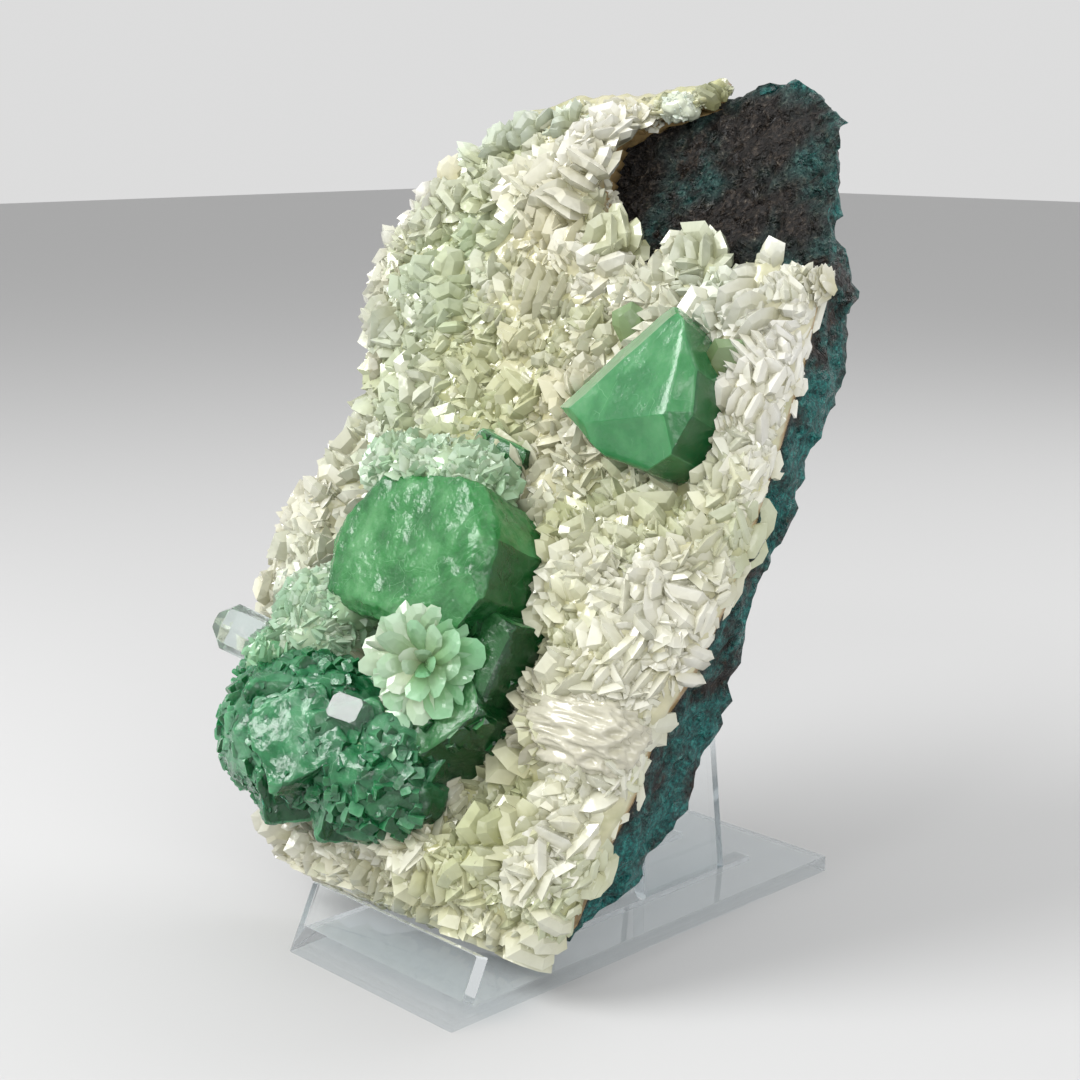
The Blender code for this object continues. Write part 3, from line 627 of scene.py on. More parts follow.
def crustPoint(shareAcross, shareUp):
    across, up = outlinePlace(shareAcross, shareUp, crust["overhang"])
    left, right, bottom, top = crust["edges"]
    edge = min(
        shareAcross * left, (1.0 - shareAcross) * right, shareUp * bottom, (1.0 - shareUp) * top, 1.0,
    )
    height = crust["rim"] + (crustHeight(across, up) - crust["rim"]) * math.sqrt(max(edge, 0.0))
    return Vector((across, -(frontHeight(across) + height), up))


def crustNormal(shareAcross, shareUp):
    step = 0.02
    right = crustPoint(min(shareAcross + step, 1.0), shareUp)
    left = crustPoint(max(shareAcross - step, 0.0), shareUp)
    above = crustPoint(shareAcross, min(shareUp + step, 1.0))
    below = crustPoint(shareAcross, max(shareUp - step, 0.0))
    return (right - left).cross(above - below).normalized()


def tintAt(across, up, chance):
    colour = Vector(tints["cream"])
    for x, z, radius, name, strength in tintSpots:
        distance = math.hypot(across / mm - x, up / mm - z)
        share = strength * math.exp(-((distance / radius) ** 2))
        colour = colour.lerp(Vector(tints[name]), share)
    # the crust's own broad swell: its hollows are painted darker and greener as painted shade, its
    # crests whiter as painted light
    reliefForPaintedLight = rough(Vector((across, 0.11, up)), crust["waveScale"])
    colour = colour.lerp(Vector(tints["paintedHollowShade"]), min(0.6, max(0.0, -1.3 * reliefForPaintedLight - 0.1)))
    colour = colour.lerp(Vector(tints["white"]), min(0.6, max(0.0, 0.9 * reliefForPaintedLight - 0.1)))
    colour = colour.lerp(Vector(tints["white"]), max(0.0, chance.gauss(0.0, 0.2)))
    colour *= 1.0 + chance.uniform(-0.05, 0.05)
    return tone(*(min(value, 250.0) for value in colour))


def buildCrustBody(chance):
    bm, shares = gridOverPlate(crust["columns"], crust["rows"], crust["overhang"])
    tint = bm.verts.layers.float_color.new("tint")
    reach = bm.verts.layers.float.new("reach")
    rear = bm.verts.layers.float.new("rear")
    for vert in bm.verts:
        vert[tint] = tintAt(vert.co.x, vert.co.z, chance)
        vert[reach] = 0.1
    doomed = []
    for face in bm.faces:
        middle = face.calc_center_median()
        if insideOutline(middle.x / mm, middle.z / mm, plate["barePatch"]):
            doomed.append(face)
    places = dict(zip(bm.verts, shares))
    bmesh.ops.delete(bm, geom=doomed, context="FACES")
    front, back = extrudeAll(bm)
    for vert, far in zip(front, back):
        share = places[vert]
        across, up = vert.co.x, vert.co.z
        normal = crustNormal(*share)
        place = crustPoint(*share)
        lump = crust["relief"] * (rough(place, 190.0) + 0.5 * rough(place, 520.0))
        vert.co = place + normal * (lump + crust["raised"])
        vert.co.y = min(vert.co.y, -(frontHeight(across) + 1.0 * mm))
        far.co = Vector((across, -frontHeight(across), up))
        far[rear] = 1.0
        far[tint] = vert[tint]
    cutSides(bm, front, crust["sideCuts"])
    for vert in bm.verts:
        if 0.0 < vert[rear] < 1.0:
            vert.co += vert.normal * crust["wallRelief"] * (rough(vert.co, 300.0) - 0.2)
        if vert[rear] > 0.5:
            vert[tint] = tone(*tints["wall"])
    makeSmooth(bm)
    finishPiece("stilbite_crust_body", bm, (stilbite,), ("stilbite_crust",))


# A blade outline: half widths and heights as shares, from its foot round its tip
bladeOutlines = (
    ((-0.28, 0.0), (0.28, 0.0), (0.45, 0.45), (0.40, 0.76), (0.05, 1.0), (-0.36, 0.8), (-0.46, 0.5)),
    ((-0.3, 0.0), (0.3, 0.0), (0.46, 0.5), (0.44, 0.86), (0.2, 1.0), (-0.42, 0.78), (-0.45, 0.4)),
    ((-0.32, 0.0), (0.3, 0.0), (0.48, 0.55), (0.42, 0.93), (-0.3, 1.0), (-0.47, 0.7)),
    (
        (-0.25, 0.0), (0.25, 0.0), (0.46, 0.5), (0.42, 0.8), (0.18, 0.97), (-0.2, 1.0),
        (-0.44, 0.78), (-0.45, 0.45),
    ),
    (
        (-0.2, 0.0), (0.24, 0.0), (0.5, 0.62), (0.36, 0.72), (0.38, 0.88), (0.1, 0.9), (-0.06, 1.0),
        (-0.4, 0.84), (-0.5, 0.55),
    ),
)
# the flat face's share of the width and of the length
bladeFace = (0.62, 0.84)


def bladeTemplate(index, outline, bend):
    # one unit long and wide: a sharp rim, a smaller face on either side, and one in six rounded
    bm = bmesh.new()
    reach = bm.verts.layers.float.new("reach")
    bm.verts.layers.float_color.new("tint")
    rim = [bm.verts.new((x, 0.0, z)) for x, z in outline]
    whole = bm.faces.new(rim)
    for side in (0.5, -0.5):
        made = bmesh.ops.extrude_face_region(bm, geom=[whole])
        for item in made["geom"]:
            if isinstance(item, bmesh.types.BMVert):
                item.co = Vector((item.co.x * bladeFace[0], side, item.co.z * bladeFace[1]))
    bmesh.ops.recalc_face_normals(bm, faces=bm.faces)
    rimSet = set(rim)
    for edge in bm.edges:
        edge.smooth = not set(edge.verts) <= rimSet
    for face in bm.faces:
        face.smooth = index % 6 == 0
    for vert in bm.verts:
        z = vert.co.z
        vert.co.y = vert.co.y * (1.0 - 0.45 * z) + bend * (z * z + 0.5 * abs(vert.co.x))
        vert[reach] = min(1.0, max(0.0, 1.6 * z - 0.5))
    mesh = bpy.data.meshes.new(f"blade{index}")
    bm.to_mesh(mesh)
    bm.free()
    return mesh


def makeTemplates(outlines):
    chance = random.Random(3)
    made = []
    for bend in (0.0, -0.4, 0.4):
        for outline in outlines:
            for _ in range(2):
                shaken = [
                    (x + chance.uniform(-0.05, 0.05), z + chance.uniform(-0.04, 0.04) * min(z, 1.0))
                    for x, z in outline
                ]
                made.append(bladeTemplate(len(made), shaken, bend))
    return made


petalOutline = (
    (-0.2, 0.0), (0.2, 0.0), (0.42, 0.4), (0.5, 0.68), (0.4, 0.9), (0.16, 1.0), (-0.16, 1.0),
    (-0.4, 0.9), (-0.5, 0.68), (-0.42, 0.4),
)
bladeTemplates = makeTemplates(bladeOutlines)
petalTemplates = makeTemplates((petalOutline,))


def bladeMatrix(foot, direction, widthAxis, length, width, thickness):
    side = (widthAxis - direction * widthAxis.dot(direction)).normalized()
    flat = direction.cross(side)
    turn = Matrix((side * width, flat * thickness, direction * length)).transposed().to_4x4()
    turn.translation = foot
    return turn


def growBlade(bm, chance, place, colour, pool=bladeTemplates):
    piece = chance.choice(pool).copy()
    piece.transform(place)
    piece.attributes["tint"].data.foreach_set("color", list(colour) * len(piece.vertices))
    bm.from_mesh(piece)
    bpy.data.meshes.remove(piece)


crystalOutlines = {
    "upper": ((-47, 134), (-16, 166), (-7, 160), (1, 148), (4, 136), (1, 125), (-8, 120), (-23, 122)),
    "middle": (
        (-100, 72), (-102, 85), (-89, 101), (-66, 105), (-44, 105), (-33, 92), (-31, 76),
        (-39, 66), (-54, 63), (-83, 63),
    ),
}


def crystalCovers(across, up, share):
    for outline in crystalOutlines.values():
        x = sum(corner[0] for corner in outline) / len(outline)
        z = sum(corner[1] for corner in outline) / len(outline)
        if insideOutline(x + (across / mm - x) / share, z + (up / mm - z) / share, outline):
            return True
    return False


def nearPatch(x, z, margin):
    for dx, dz in ((0, 0), (1, 0), (-1, 0), (0, 1), (0, -1)):
        if insideOutline(x + dx * margin, z + dz * margin, plate["barePatch"]):
            return True
    return False


def clusterPlaces(chance, spacing, tries):
    # places spaced over the crust
    places = []
    cells = {}
    for _ in range(tries):
        share = (chance.uniform(0.0, 0.998), chance.uniform(0.004, 0.996))
        place = crustPoint(*share)
        key = tuple(int(value // spacing) for value in place)
        near = []
        for dx in (-1, 0, 1):
            for dy in (-1, 0, 1):
                for dz in (-1, 0, 1):
                    near += cells.get((key[0] + dx, key[1] + dy, key[2] + dz), [])
        if any((place - other).length < spacing for other in near):
            continue
        if nearPatch(place.x / mm, place.z / mm, crust["patchMargin"]):
            continue
        if crystalCovers(place.x, place.z, 0.86):
            continue
        cells.setdefault(key, []).append(place)
        places.append((share, place))
    return places


def growRosette(bm, chance, foot, normal, tangent, size, colour):
    # petals in three rings, each ring leaning out further
    for petals, lean in ((3, 0.3), (5, 0.75), (6, 1.15)):
        start = chance.uniform(0.0, math.tau)
        for index in range(petals):
            turn = start + (index + chance.uniform(-0.25, 0.25)) * math.tau / petals
            away = tangent.copy()
            away.rotate(Matrix.Rotation(turn, 3, normal))
            tilt = lean + chance.uniform(-0.15, 0.15)
            direction = normal * math.cos(tilt) + away * math.sin(tilt)
            axis = normal.cross(away) + normal * chance.uniform(-0.35, 0.35)
            growBlade(bm, chance, bladeMatrix(
                foot, direction, axis, chance.uniform(*crust["length"]) * size,
                chance.uniform(*crust["width"]) * size, chance.uniform(*crust["thick"]) * size,
            ), colour)


def growBook(bm, chance, foot, normal, tangent, size, colour):
    # slabs packed against each other, opening a little towards their tips
    pages = chance.randint(3, 5)
    lean = normal + tangent * chance.uniform(-0.8, 0.8)
    lean.normalize()
    flat = lean.cross(tangent).normalized()
    thickness = chance.uniform(*crust["thick"]) * size
    width = chance.uniform(*crust["width"]) * size * 1.2
    for index in range(pages):
        share = index - (pages - 1) / 2
        direction = (lean + flat * share * 0.11).normalized()
        length = chance.uniform(*crust["length"]) * size * (1.05 - 0.03 * share * share)
        axis = tangent + normal * chance.uniform(-0.06, 0.06)
        growBlade(bm, chance, bladeMatrix(
            foot + flat * share * thickness * 0.6, direction, axis,
            length, width * chance.uniform(0.85, 1.05), thickness,
        ), colour)


def growStout(bm, chance, foot, normal, tangent, size, colour):
    # a few thick crystals that cross each other
    for _ in range(chance.randint(3, 5)):
        direction = normal + tangent * chance.uniform(-0.9, 0.9)
        direction += normal.cross(tangent) * chance.uniform(-0.9, 0.9)
        direction.normalize()
        axis = anyWay(chance)
        growBlade(bm, chance, bladeMatrix(
            foot, direction, axis, chance.uniform(*crust["length"]) * size,
            chance.uniform(*crust["width"]) * size, chance.uniform(*crust["thick"]) * size * 1.3,
        ), colour)


clusterKinds = (growRosette, growRosette, growBook, growStout)


def growCluster(bm, chance, place, normal, size, colour):
    tangent = normal.orthogonal().normalized()
    tangent.rotate(Matrix.Rotation(chance.uniform(0.0, math.tau), 3, normal))
    foot = place - normal * crust["root"] * size
    chance.choice(clusterKinds)(bm, chance, foot, normal, tangent, size, colour)


def drawIn(value, limit, side):
    # presses what lies past a limit towards it
    past = (value - limit) * side
    return limit + side * past * 0.15 if past > 0.0 else value


def trimBlades(bm):
    # the right edge is crisp, and the lowest tips rest on the lip
    pastRight, left, pastTop, lowest = crust["limits"]
    for vert in bm.verts:
        x, z = vert.co.x / mm, vert.co.z / mm
        first = tableValue(plate["sides"], z, 1)
        last = tableValue(plate["sides"], z, 2)
        top = tableValue(plate["ends"], (x - first) / (last - first), 2)
        x = drawIn(drawIn(x, last + pastRight, 1.0), left, -1.0)
        z = drawIn(drawIn(z, top + pastTop, 1.0), lowest, -1.0)
        vert.co.x, vert.co.z = x * mm, z * mm


# clusters that hang over the left edge: place (across, over, up), size, tint
edgeClusters = (
    ((-138, 19, 187), 1.1, "white"), ((-133, 20, 194), 1.1, "white"), ((-128, 20, 201), 1.1, "cream"),
    ((-138, 17, 178), 1.2, "cream"), ((-121, 20, 208), 1.1, "frost"), ((-112, 19, 214), 1.1, "frost"),
    ((-137, 18, 166), 1.1, "cream"), ((-104, 17, 219), 1.2, "frost"), ((-92, 15, 222), 1.1, "frost"),
    ((-78, 13, 222), 1.0, "frost"), ((-136, 18, 152), 1.1, "cream"), ((-131, 18, 138), 1.1, "cream"),
    ((-136, 22, 92), 1.2, "cream"), ((-136, 22, 82), 1.2, "cream"), ((-133, 20, 70), 1.1, "frost"),
    ((-131, 16, 48), 1.0, "cream"), ((-120, 14, 30), 1.0, "cream"), ((-128, 18, 120), 1.0, "cream"),
)


def growRims(bm, chance):
    for spot, size, name in edgeClusters:
        away = Vector((-0.75, -0.6, 0.35 if spot[2] > 190 else 0.0)).normalized()
        colour = Vector(tints[name]) * chance.uniform(0.97, 1.03)
        growCluster(bm, chance, atSpot(spot), away, size, tone(*colour))
    # the patch's corners that border on the crust
    corners = plate["barePatch"]
    for (ax, az), (bx, bz) in zip(corners[1:15], corners[2:16]):
        along = Vector((bx - ax, 0.0, bz - az))
        inward = Vector((along.z, 0.0, -along.x)).normalized()
        if not insideOutline((ax + bx) / 2 + inward.x, (az + bz) / 2 + inward.z, corners):
            inward = -inward
        steps = max(1, round(along.length * mm / crust["rimStep"]))
        for index in range(steps):
            share = (index + chance.random()) / steps
            x = (ax + along.x * share) * mm - inward.x * crust["rimInset"] * mm
            z = (az + along.z * share) * mm - inward.z * crust["rimInset"] * mm
            place = Vector((x, -frontHeight(x) - chance.uniform(2.0, 7.0) * mm, z))
            way = (inward * 0.5 + Vector((0.0, -0.85, 0.0))).normalized()
            size = chance.uniform(0.5, 0.75) * (0.6 if z > crust["thinFrom"] else 1.0)
            growCluster(bm, chance, place, way, size, tintAt(x, z, chance))
    for end, side, span, size in ((0.0, -1.0, 1.0, 0.95), (1.0, 1.0, 0.62, 0.7)):
        for index in range(crust["hanging"]):
            share = (index + chance.random()) / crust["hanging"] * span
            inset = Vector((0.0, chance.uniform(0.0, 3.0), -side * chance.uniform(1.0, 3.0))) * mm
            place = crustPoint(share, end) + inset
            way = Vector((chance.uniform(-0.3, 0.3), -0.7, 0.7 * side)).normalized()
            grown = chance.uniform(0.65, 1.0) * size
            growCluster(bm, chance, place, way, grown, tintAt(place.x, place.z, chance))


def buildCrustBlades(chance):
    bm = bmesh.new()
    growRims(bm, chance)
    trimBlades(bm)
    finishPiece("stilbite_rim_blades", bm, (stilbite,))
    for kind in ("broad", "fine"):
        spacing, smallest, largest, tries, bands = crust[kind]
        places = sorted(clusterPlaces(chance, spacing, tries), key=lambda item: item[1].z)
        share = len(places) // bands + 1
        for index in range(bands):
            bm = bmesh.new()
            for shares, place in places[index * share:(index + 1) * share]:
                normal = crustNormal(*shares)
                nearTop = max(0.0, (shares[1] - crust["shrinkFrom"]) / 0.1)
                size = chance.uniform(smallest, largest) * (1.0 - crust["topShrink"] * nearTop)
                growCluster(bm, chance, place, normal, size, tintAt(place.x, place.z, chance))
            trimBlades(bm)
            finishPiece(f"stilbite_{kind}_blades_{index + 1}", bm, (stilbite,))
        print(kind, "clusters:", len(places))


# ---- the white sheaf low on the right ----

sheaf = {
    "centre": (-11, 8.5, 52.5), "halves": (18, 12.5, 12.5), "colour": (202, 200, 184), "seed": 5,
    "ridge": 1.9 * mm, "ridgeScale": 300.0, "pages": 60,
}


def sheafStrand(across, over, up):
    # the strands run across, curve apart at the ends and lie over each other
    centre, halves = sheaf["centre"], sheaf["halves"]
    x = (across - centre[0]) / halves[0]
    place = Vector((across * 0.1, over * 0.45, (up - centre[2]) / (1.0 + 0.5 * x * x))) * mm
    return 1.0 - 2.0 * abs(rough(place, sheaf["ridgeScale"]))


def buildSheaf():
    chance = random.Random(sheaf["seed"])
    bm = bmesh.new()
    tint = bm.verts.layers.float_color.new("tint")
    reach = bm.verts.layers.float.new("reach")
    bmesh.ops.create_icosphere(bm, subdivisions=6, radius=1.0)
    for vert in bm.verts:
        way = Vector(vert.co)
        spot = [c + h * value for c, h, value in zip(
            sheaf["centre"], sheaf["halves"], (way.x, -way.y, way.z),
        )]
        vert.co = atSpot(spot) + way * sheaf["ridge"] * sheafStrand(*spot)
        vert[tint] = tone(*sheaf["colour"])
        vert[reach] = 0.8
    makeSmooth(bm)
    for _ in range(sheaf["pages"]):
        turn = chance.uniform(-1.0, 1.0)
        way = Vector((-math.cos(turn), -chance.uniform(0.0, 0.9), math.sin(turn))).normalized()
        spot = [c + h * value * 0.5 for c, h, value in zip(
            sheaf["centre"], sheaf["halves"], (way.x, -way.y, way.z),
        )]
        growBlade(bm, chance, bladeMatrix(
            atSpot(spot), way, Vector((0.0, -1.0, chance.uniform(-0.4, 0.4))),
            chance.uniform(11.0, 13.5) * mm, chance.uniform(7.0, 10.0) * mm, 1.5 * mm,
        ), tone(*Vector(sheaf["colour"]) * chance.uniform(0.95, 1.04)), petalTemplates)
    finishPiece("stilbite_sheaf", bm, (stilbite,))


# ---- green crystals ----

def cutFacet(made, place, out):
    # takes off what lies outside a plane and closes the cut
    every = made.verts[:] + made.edges[:] + made.faces[:]
    bmesh.ops.bisect_plane(made, geom=every, plane_co=place, plane_no=out, clear_outer=True)
    bmesh.ops.holes_fill(made, edges=[edge for edge in made.edges if edge.is_boundary], sides=0)


def paintFaces(made, frost=0.0, paintedShadeFrom=None, facets=()):
    # frost pales a face; painted shade darkens the faces turned right and down, away from the light;
    # both ride on the face corners
    frostMark = made.loops.layers.float.get("frost") or made.loops.layers.float.new("frost")
    paintedShadeMark = made.loops.layers.float.get("paintedShade") or made.loops.layers.float.new("paintedShade")
    made.normal_update()
    for face in made.faces:
        pale = frost
        for out, amount in facets:
            if face.normal.dot(out) > 0.995:
                pale = amount
        paintedShade = 0.0
        if paintedShadeFrom is not None:
            # painted shade grows with how far a face turns right and down, away from the light
            paintedShade = min(1.0, max(0.0, (face.normal.dot(Vector((0.94, 0.0, -0.34))) - paintedShadeFrom) * 2.2))
        for loop in face.loops:
            loop[frostMark] = pale
            loop[paintedShadeMark] = paintedShade


cloudScale = 48.0


def frostOver(made, strength):
    # pale clouds over a whole block
    layer = made.loops.layers.float.get("frost")
    for face in made.faces:
        for loop in face.loops:
            loop[layer] = min(1.0, max(loop[layer], strength * rough(loop.vert.co, cloudScale)))


def terrace(made, depth, scale, steps, fine):
    makeSmooth(made)
    made.normal_update()
    for vert in made.verts:
        level = (rough(vert.co, scale) + 1.0) * steps
        whole = math.floor(level)
        part = min(1.0, max(0.0, (level - whole - 0.35) / 0.3))
        rise = (whole + part) / steps - 1.0
        vert.co += vert.normal * (depth * rise + fine * rough(vert.co, 420.0))


def growSteps(made, cuts, soften, depth, scale, steps, fine):
    # rounded edges, low terraces such as a crystal face grows in, and a fine unevenness
    bmesh.ops.triangulate(made, faces=made.faces[:])
    bmesh.ops.subdivide_edges(made, edges=made.edges[:], cuts=cuts, use_grid_fill=True)
    for _ in range(soften):
        bmesh.ops.smooth_vert(
            made, verts=made.verts[:], factor=0.5, use_axis_x=True, use_axis_y=True, use_axis_z=True,
        )
    terrace(made, depth, scale, steps, fine)


def tablet(bm, look, outline):
    # an outline drawn on the plate, pushed out to a tilted front whose edges are cut off
    x0 = sum(corner[0] for corner in outline) / len(outline)
    z0 = sum(corner[1] for corner in outline) / len(outline)
    made = bmesh.new()
    corners = []
    for x, z in outline:
        across, up = x0 + (x - x0) * look["foot"], z0 + (z - z0) * look["foot"]
        corners.append(made.verts.new(onPlate(across, up, look["root"])))
    made.faces.new(corners)
    _, new = extrudeAll(made)
    for vert, (x, z) in zip(new, outline):
        vert.co = onPlate(x, z, look["height"] + look["tilt"][0] * (x - x0) + look["tilt"][1] * (z - z0))
    for (first, last), width in look["bevels"]:
        picked = []
        for index in range(first, last):
            ends = {new[index % len(outline)], new[(index + 1) % len(outline)]}
            picked += [edge for edge in made.edges if set(edge.verts) == ends]
        bmesh.ops.bevel(
            made, geom=picked, offset=width * mm, affect="EDGES", segments=1, profile=0.5, material=-1,
        )
    pale = []
    for spot, direction, frost in look["facets"]:
        way = outward(direction)
        cutFacet(made, atSpot(spot), way)
        pale.append((way, frost))
    bmesh.ops.recalc_face_normals(made, faces=made.faces)
    paintFaces(made, 0.0, look["paintedShadeFrom"], pale)
    growSteps(made, *look["steps"])
    joinInto(bm, made)


def crystalBlock(bm, matrix, size, corner, frost=0.0, paintedShadeFrom=None, steps=None, clouds=0.0):
    # a stout crystal with its corners cut off, the habit of apophyllite
    made = bmesh.new()
    bmesh.ops.create_cube(made, size=1.0)
    bmesh.ops.scale(made, vec=Vector(size) * mm, verts=made.verts)
    bmesh.ops.bevel(
        made, geom=made.verts[:], offset=min(size) * corner * mm, affect="VERTICES",
        segments=1, profile=0.5, material=-1,
    )
    made.transform(matrix)
    paintFaces(made, frost, paintedShadeFrom)
    if steps:
        growSteps(made, *steps)
        frostOver(made, clouds)
    joinInto(bm, made)


def turned(centre, turns):
    matrix = Matrix.Identity(4)
    for angle, axis in zip(turns, "XYZ"):
        matrix = Matrix.Rotation(math.radians(angle), 4, axis) @ matrix
    matrix.translation = atSpot(centre)
    return matrix


# facets: a place on the plane (across, over, up), its way out, and how much paler it is painted, most
# where the facet turns up and left
# paintedShadeFrom sets where the painted shade on faces turned away from the light begins
upper = {
    "root": 3.0, "height": 28.5, "tilt": (0.10, -0.02), "foot": 0.92, "paintedShadeFrom": 0.45,
    "bevels": (((7, 8), 3.0), ((4, 7), 5.0)),
    "facets": (
        ((-26.5, 26.9, 145.1), (-0.48, 1.0, 0.39), 0.85),
        ((-14, 27.9, 131), (0.0, 1.0, -0.55), 0.05),
        ((-3, 29.0, 146), (0.75, 1.0, 0.15), 0.0),
    ),
    "steps": (14, 2, 0.3 * mm, 70.0, 5.0, 0.1 * mm),
}
middle = {
    "root": 12.0, "height": 42.0, "tilt": (0.05, 0.02), "foot": 0.92, "paintedShadeFrom": 0.55,
    "bevels": (((0, 2), 5.0), ((7, 10), 4.0), ((4, 6), 4.0)),
    "facets": (
        ((-88, 41.0, 97), (-0.4, 1.0, 0.35), 0.3),
        ((-52, 42.0, 72), (0.15, 1.0, -0.40), 0.1),
        ((-92, 41.0, 80), (-0.7, 1.0, -0.1), 0.2),
    ),
    "steps": (18, 5, 0.9 * mm, 90.0, 4.0, 0.3 * mm),
}


def buildUpper():
    bm = bmesh.new()
    tablet(bm, upper, crystalOutlines["upper"])
    finishPiece("upper_crystal", bm, (upperGreen,), ("upper_apophyllite",))


def buildMiddle():
    bm = bmesh.new()
    tablet(bm, middle, crystalOutlines["middle"])
    finishPiece("middle_crystal", bm, (middleGreen,), ("middle_apophyllite",))


innerBlocks = (
    ((-47, 20, 60), (34, 22, 36), (8, 12, 6)),
    ((-44, 21, 46), (24, 20, 24), (-10, 40, -8)),
)
smallBlocks = (
    ((-64, 17, 118), (17, 13, 11), (12, 10, 20)),
    ((-70, 16, 116), (12, 11, 10), (-20, 35, 10)),
)
lowerBlocks = (
    ((-86, 27, 27), (29, 31, 27), (12, 20, 10)),
    ((-95, 29, 25), (22, 24, 24), (-20, 35, 25)),
    ((-90, 35, 36), (26, 22, 21), (25, -20, 35)),
    ((-78, 38, 25), (24, 24, 24), (-15, 45, 15)),
    ((-88, 31, 15), (21, 21, 17), (30, 15, -25)),
    ((-69, 32, 31), (21, 22, 21), (10, -30, 40)),
    ((-97, 22, 37), (19, 20, 17), (-30, 20, 10)),
    ((-67, 27, 17), (21, 21, 18), (20, 30, -15)),
    ((-56, 22, 27), (27, 19, 24), (-8, 12, 14)),
)


def patchyFrost(place, chance):
    return min(1.0, max(0.0, 1.2 * rough(place, 45.0) + chance.gauss(-0.15, 0.2)))


def growMosaic(bm, chance, block, look):
    # a big crystal with terraced faces and small ones set nearly parallel over them
    centre, size, turns = block
    matrix = turned(centre, turns)
    crystalBlock(bm, matrix, size, 0.15, 0.0, look["paintedShadeFrom"], look["steps"], look["clouds"])
    for _ in range(look["count"]):
        axis = chance.randrange(3)
        sign = chance.choice((-1.0, 1.0))
        spot = [chance.uniform(-0.42, 0.42) * length for length in size]
        spot[axis] = sign * (size[axis] / 2 - chance.uniform(0.8, 2.0))
        dims = [chance.uniform(*look["small"]) for _ in range(3)]
        wobble = Matrix.Identity(4)
        for name in "XYZ":
            wobble = wobble @ Matrix.Rotation(math.radians(chance.gauss(0.0, look["wobble"])), 4, name)
        local = Matrix.Translation(Vector(spot) * mm) @ wobble
        place = matrix @ (Vector(spot) * mm)
        crystalBlock(bm, matrix @ local, dims, 0.3, patchyFrost(place, chance), look["paintedShadeFrom"])


# count and size of the small crystals, how far they turn, and the terraces below them
# paintedShadeFrom sets where painted shade begins: the inner crystals get some painted shade even on
# their fronts, the lower cluster only on faces turned well away from the light
innerLook = {
    "seed": 41, "count": 16, "small": (3.0, 6.0), "wobble": 9.0, "paintedShadeFrom": -0.2,
    "clouds": 0.3, "steps": (10, 3, 1.1 * mm, 90.0, 4.0, 0.3 * mm),
}
smallLook = {
    "seed": 42, "count": 6, "small": (2.5, 4.0), "wobble": 9.0, "paintedShadeFrom": 0.1,
    "clouds": 0.6, "steps": (6, 1, 0.4 * mm, 110.0, 4.0, 0.15 * mm),
}
lowerLook = {
    "seed": 43, "count": 110, "small": (1.2, 3.2), "wobble": 20.0, "paintedShadeFrom": 0.5,
    "clouds": 0.38, "steps": (12, 6, 1.2 * mm, 110.0, 4.0, 0.5 * mm),
}
# toothed left edge of the lower cluster
teeth = {
    "count": 60, "from": (-112, 43, 41), "to": (-100, 39, 7), "bulge": 6.0,
    "size": ((2.4, 5.5), (1.2, 2.4), (1.2, 2.4)), "seed": 51,
}


def growTeeth(bm):
    chance = random.Random(teeth["seed"])
    for index in range(teeth["count"]):
        share = index / (teeth["count"] - 1)
        x, over, z = (a + (b - a) * share for a, b in zip(teeth["from"], teeth["to"]))
        x -= teeth["bulge"] * math.sin(math.pi * share) + chance.uniform(-1.0, 0.5)
        over += chance.uniform(-9.0, 1.0)
        turn = Matrix.Rotation(chance.uniform(-0.4, 0.4), 4, "Y")
        turn = turn @ Matrix.Rotation(chance.uniform(-0.6, 0.6), 4, "Z")
        dims = [chance.uniform(*span) for span in teeth["size"]]
        matrix = Matrix.Translation(onPlate(x, z + chance.uniform(-1.5, 1.5), over)) @ turn
        crystalBlock(bm, matrix, dims, 0.35, max(0.0, chance.gauss(0.1, 0.2)))


# rounded lumps that fill the lower cluster out: centre, half sizes, how many small crystals
lumps = (
    ((-92, 30, 27), (26, 21, 21), 300), ((-64, 25, 22), (25, 18, 16), 180),
    ((-86, 30, 40), (23, 16, 11), 90), ((-58, 27, 33), (16, 13, 10), 80),
)
lumpGrains = (1.6, 5.0)
lumpTurn = 0.8
lumpSeed = 52


def growLumps(bm):
    chance = random.Random(lumpSeed)
    for centre, halves, count in lumps:
        made = bmesh.new()
        bmesh.ops.create_icosphere(made, subdivisions=5, radius=1.0)
        for vert in made.verts:
            vert.co = onLump(centre, halves, vert.co)
        bmesh.ops.recalc_face_normals(made, faces=made.faces)
        paintFaces(made, 0.0, lowerLook["paintedShadeFrom"])
        terrace(made, 2.0 * mm, 80.0, 3.0, 0.45 * mm)
        frostOver(made, lowerLook["clouds"])
        joinInto(bm, made)
        for _ in range(count):
            way = frontWay(chance)
            place = onLump(centre, halves, way)
            turn = way.to_track_quat("Z", "X").to_matrix().to_4x4()
            turn = turn @ Matrix.Rotation(chance.uniform(-0.5, 0.5), 4, "Z")
            for axis in "XY":
                turn = turn @ Matrix.Rotation(chance.gauss(0.0, lumpTurn), 4, axis)
            turn.translation = place - way * chance.uniform(0.4, 1.6) * mm
            dims = [chance.uniform(*lumpGrains) for _ in range(3)]
            frost = lowerLook["clouds"] * rough(place, cloudScale) + chance.gauss(0.0, 0.08)
            crystalBlock(bm, turn, dims, 0.2, min(1.0, max(0.0, frost)), lowerLook["paintedShadeFrom"])


def growLowerExtras(bm):
    growTeeth(bm)
    growLumps(bm)


def buildBlocks(name, blocks, look, material, replaced, extra=None):
    chance = random.Random(look["seed"])
    bm = bmesh.new()
    for block in blocks:
        growMosaic(bm, chance, block, look)
    if extra:
        extra(bm)
    finishPiece(name, bm, (material,), (replaced,))


def buildGreens():
    buildBlocks("inner_crystals", innerBlocks, innerLook, middleGreen, "inner_apophyllite")
    buildBlocks("small_crystals", smallBlocks, smallLook, middleGreen, "small_apophyllite")
    buildBlocks(
        "lower_cluster", lowerBlocks, lowerLook, lowerGreen, "lower_apophyllite_cluster",
        growLowerExtras,
    )


# ---- rosette ----

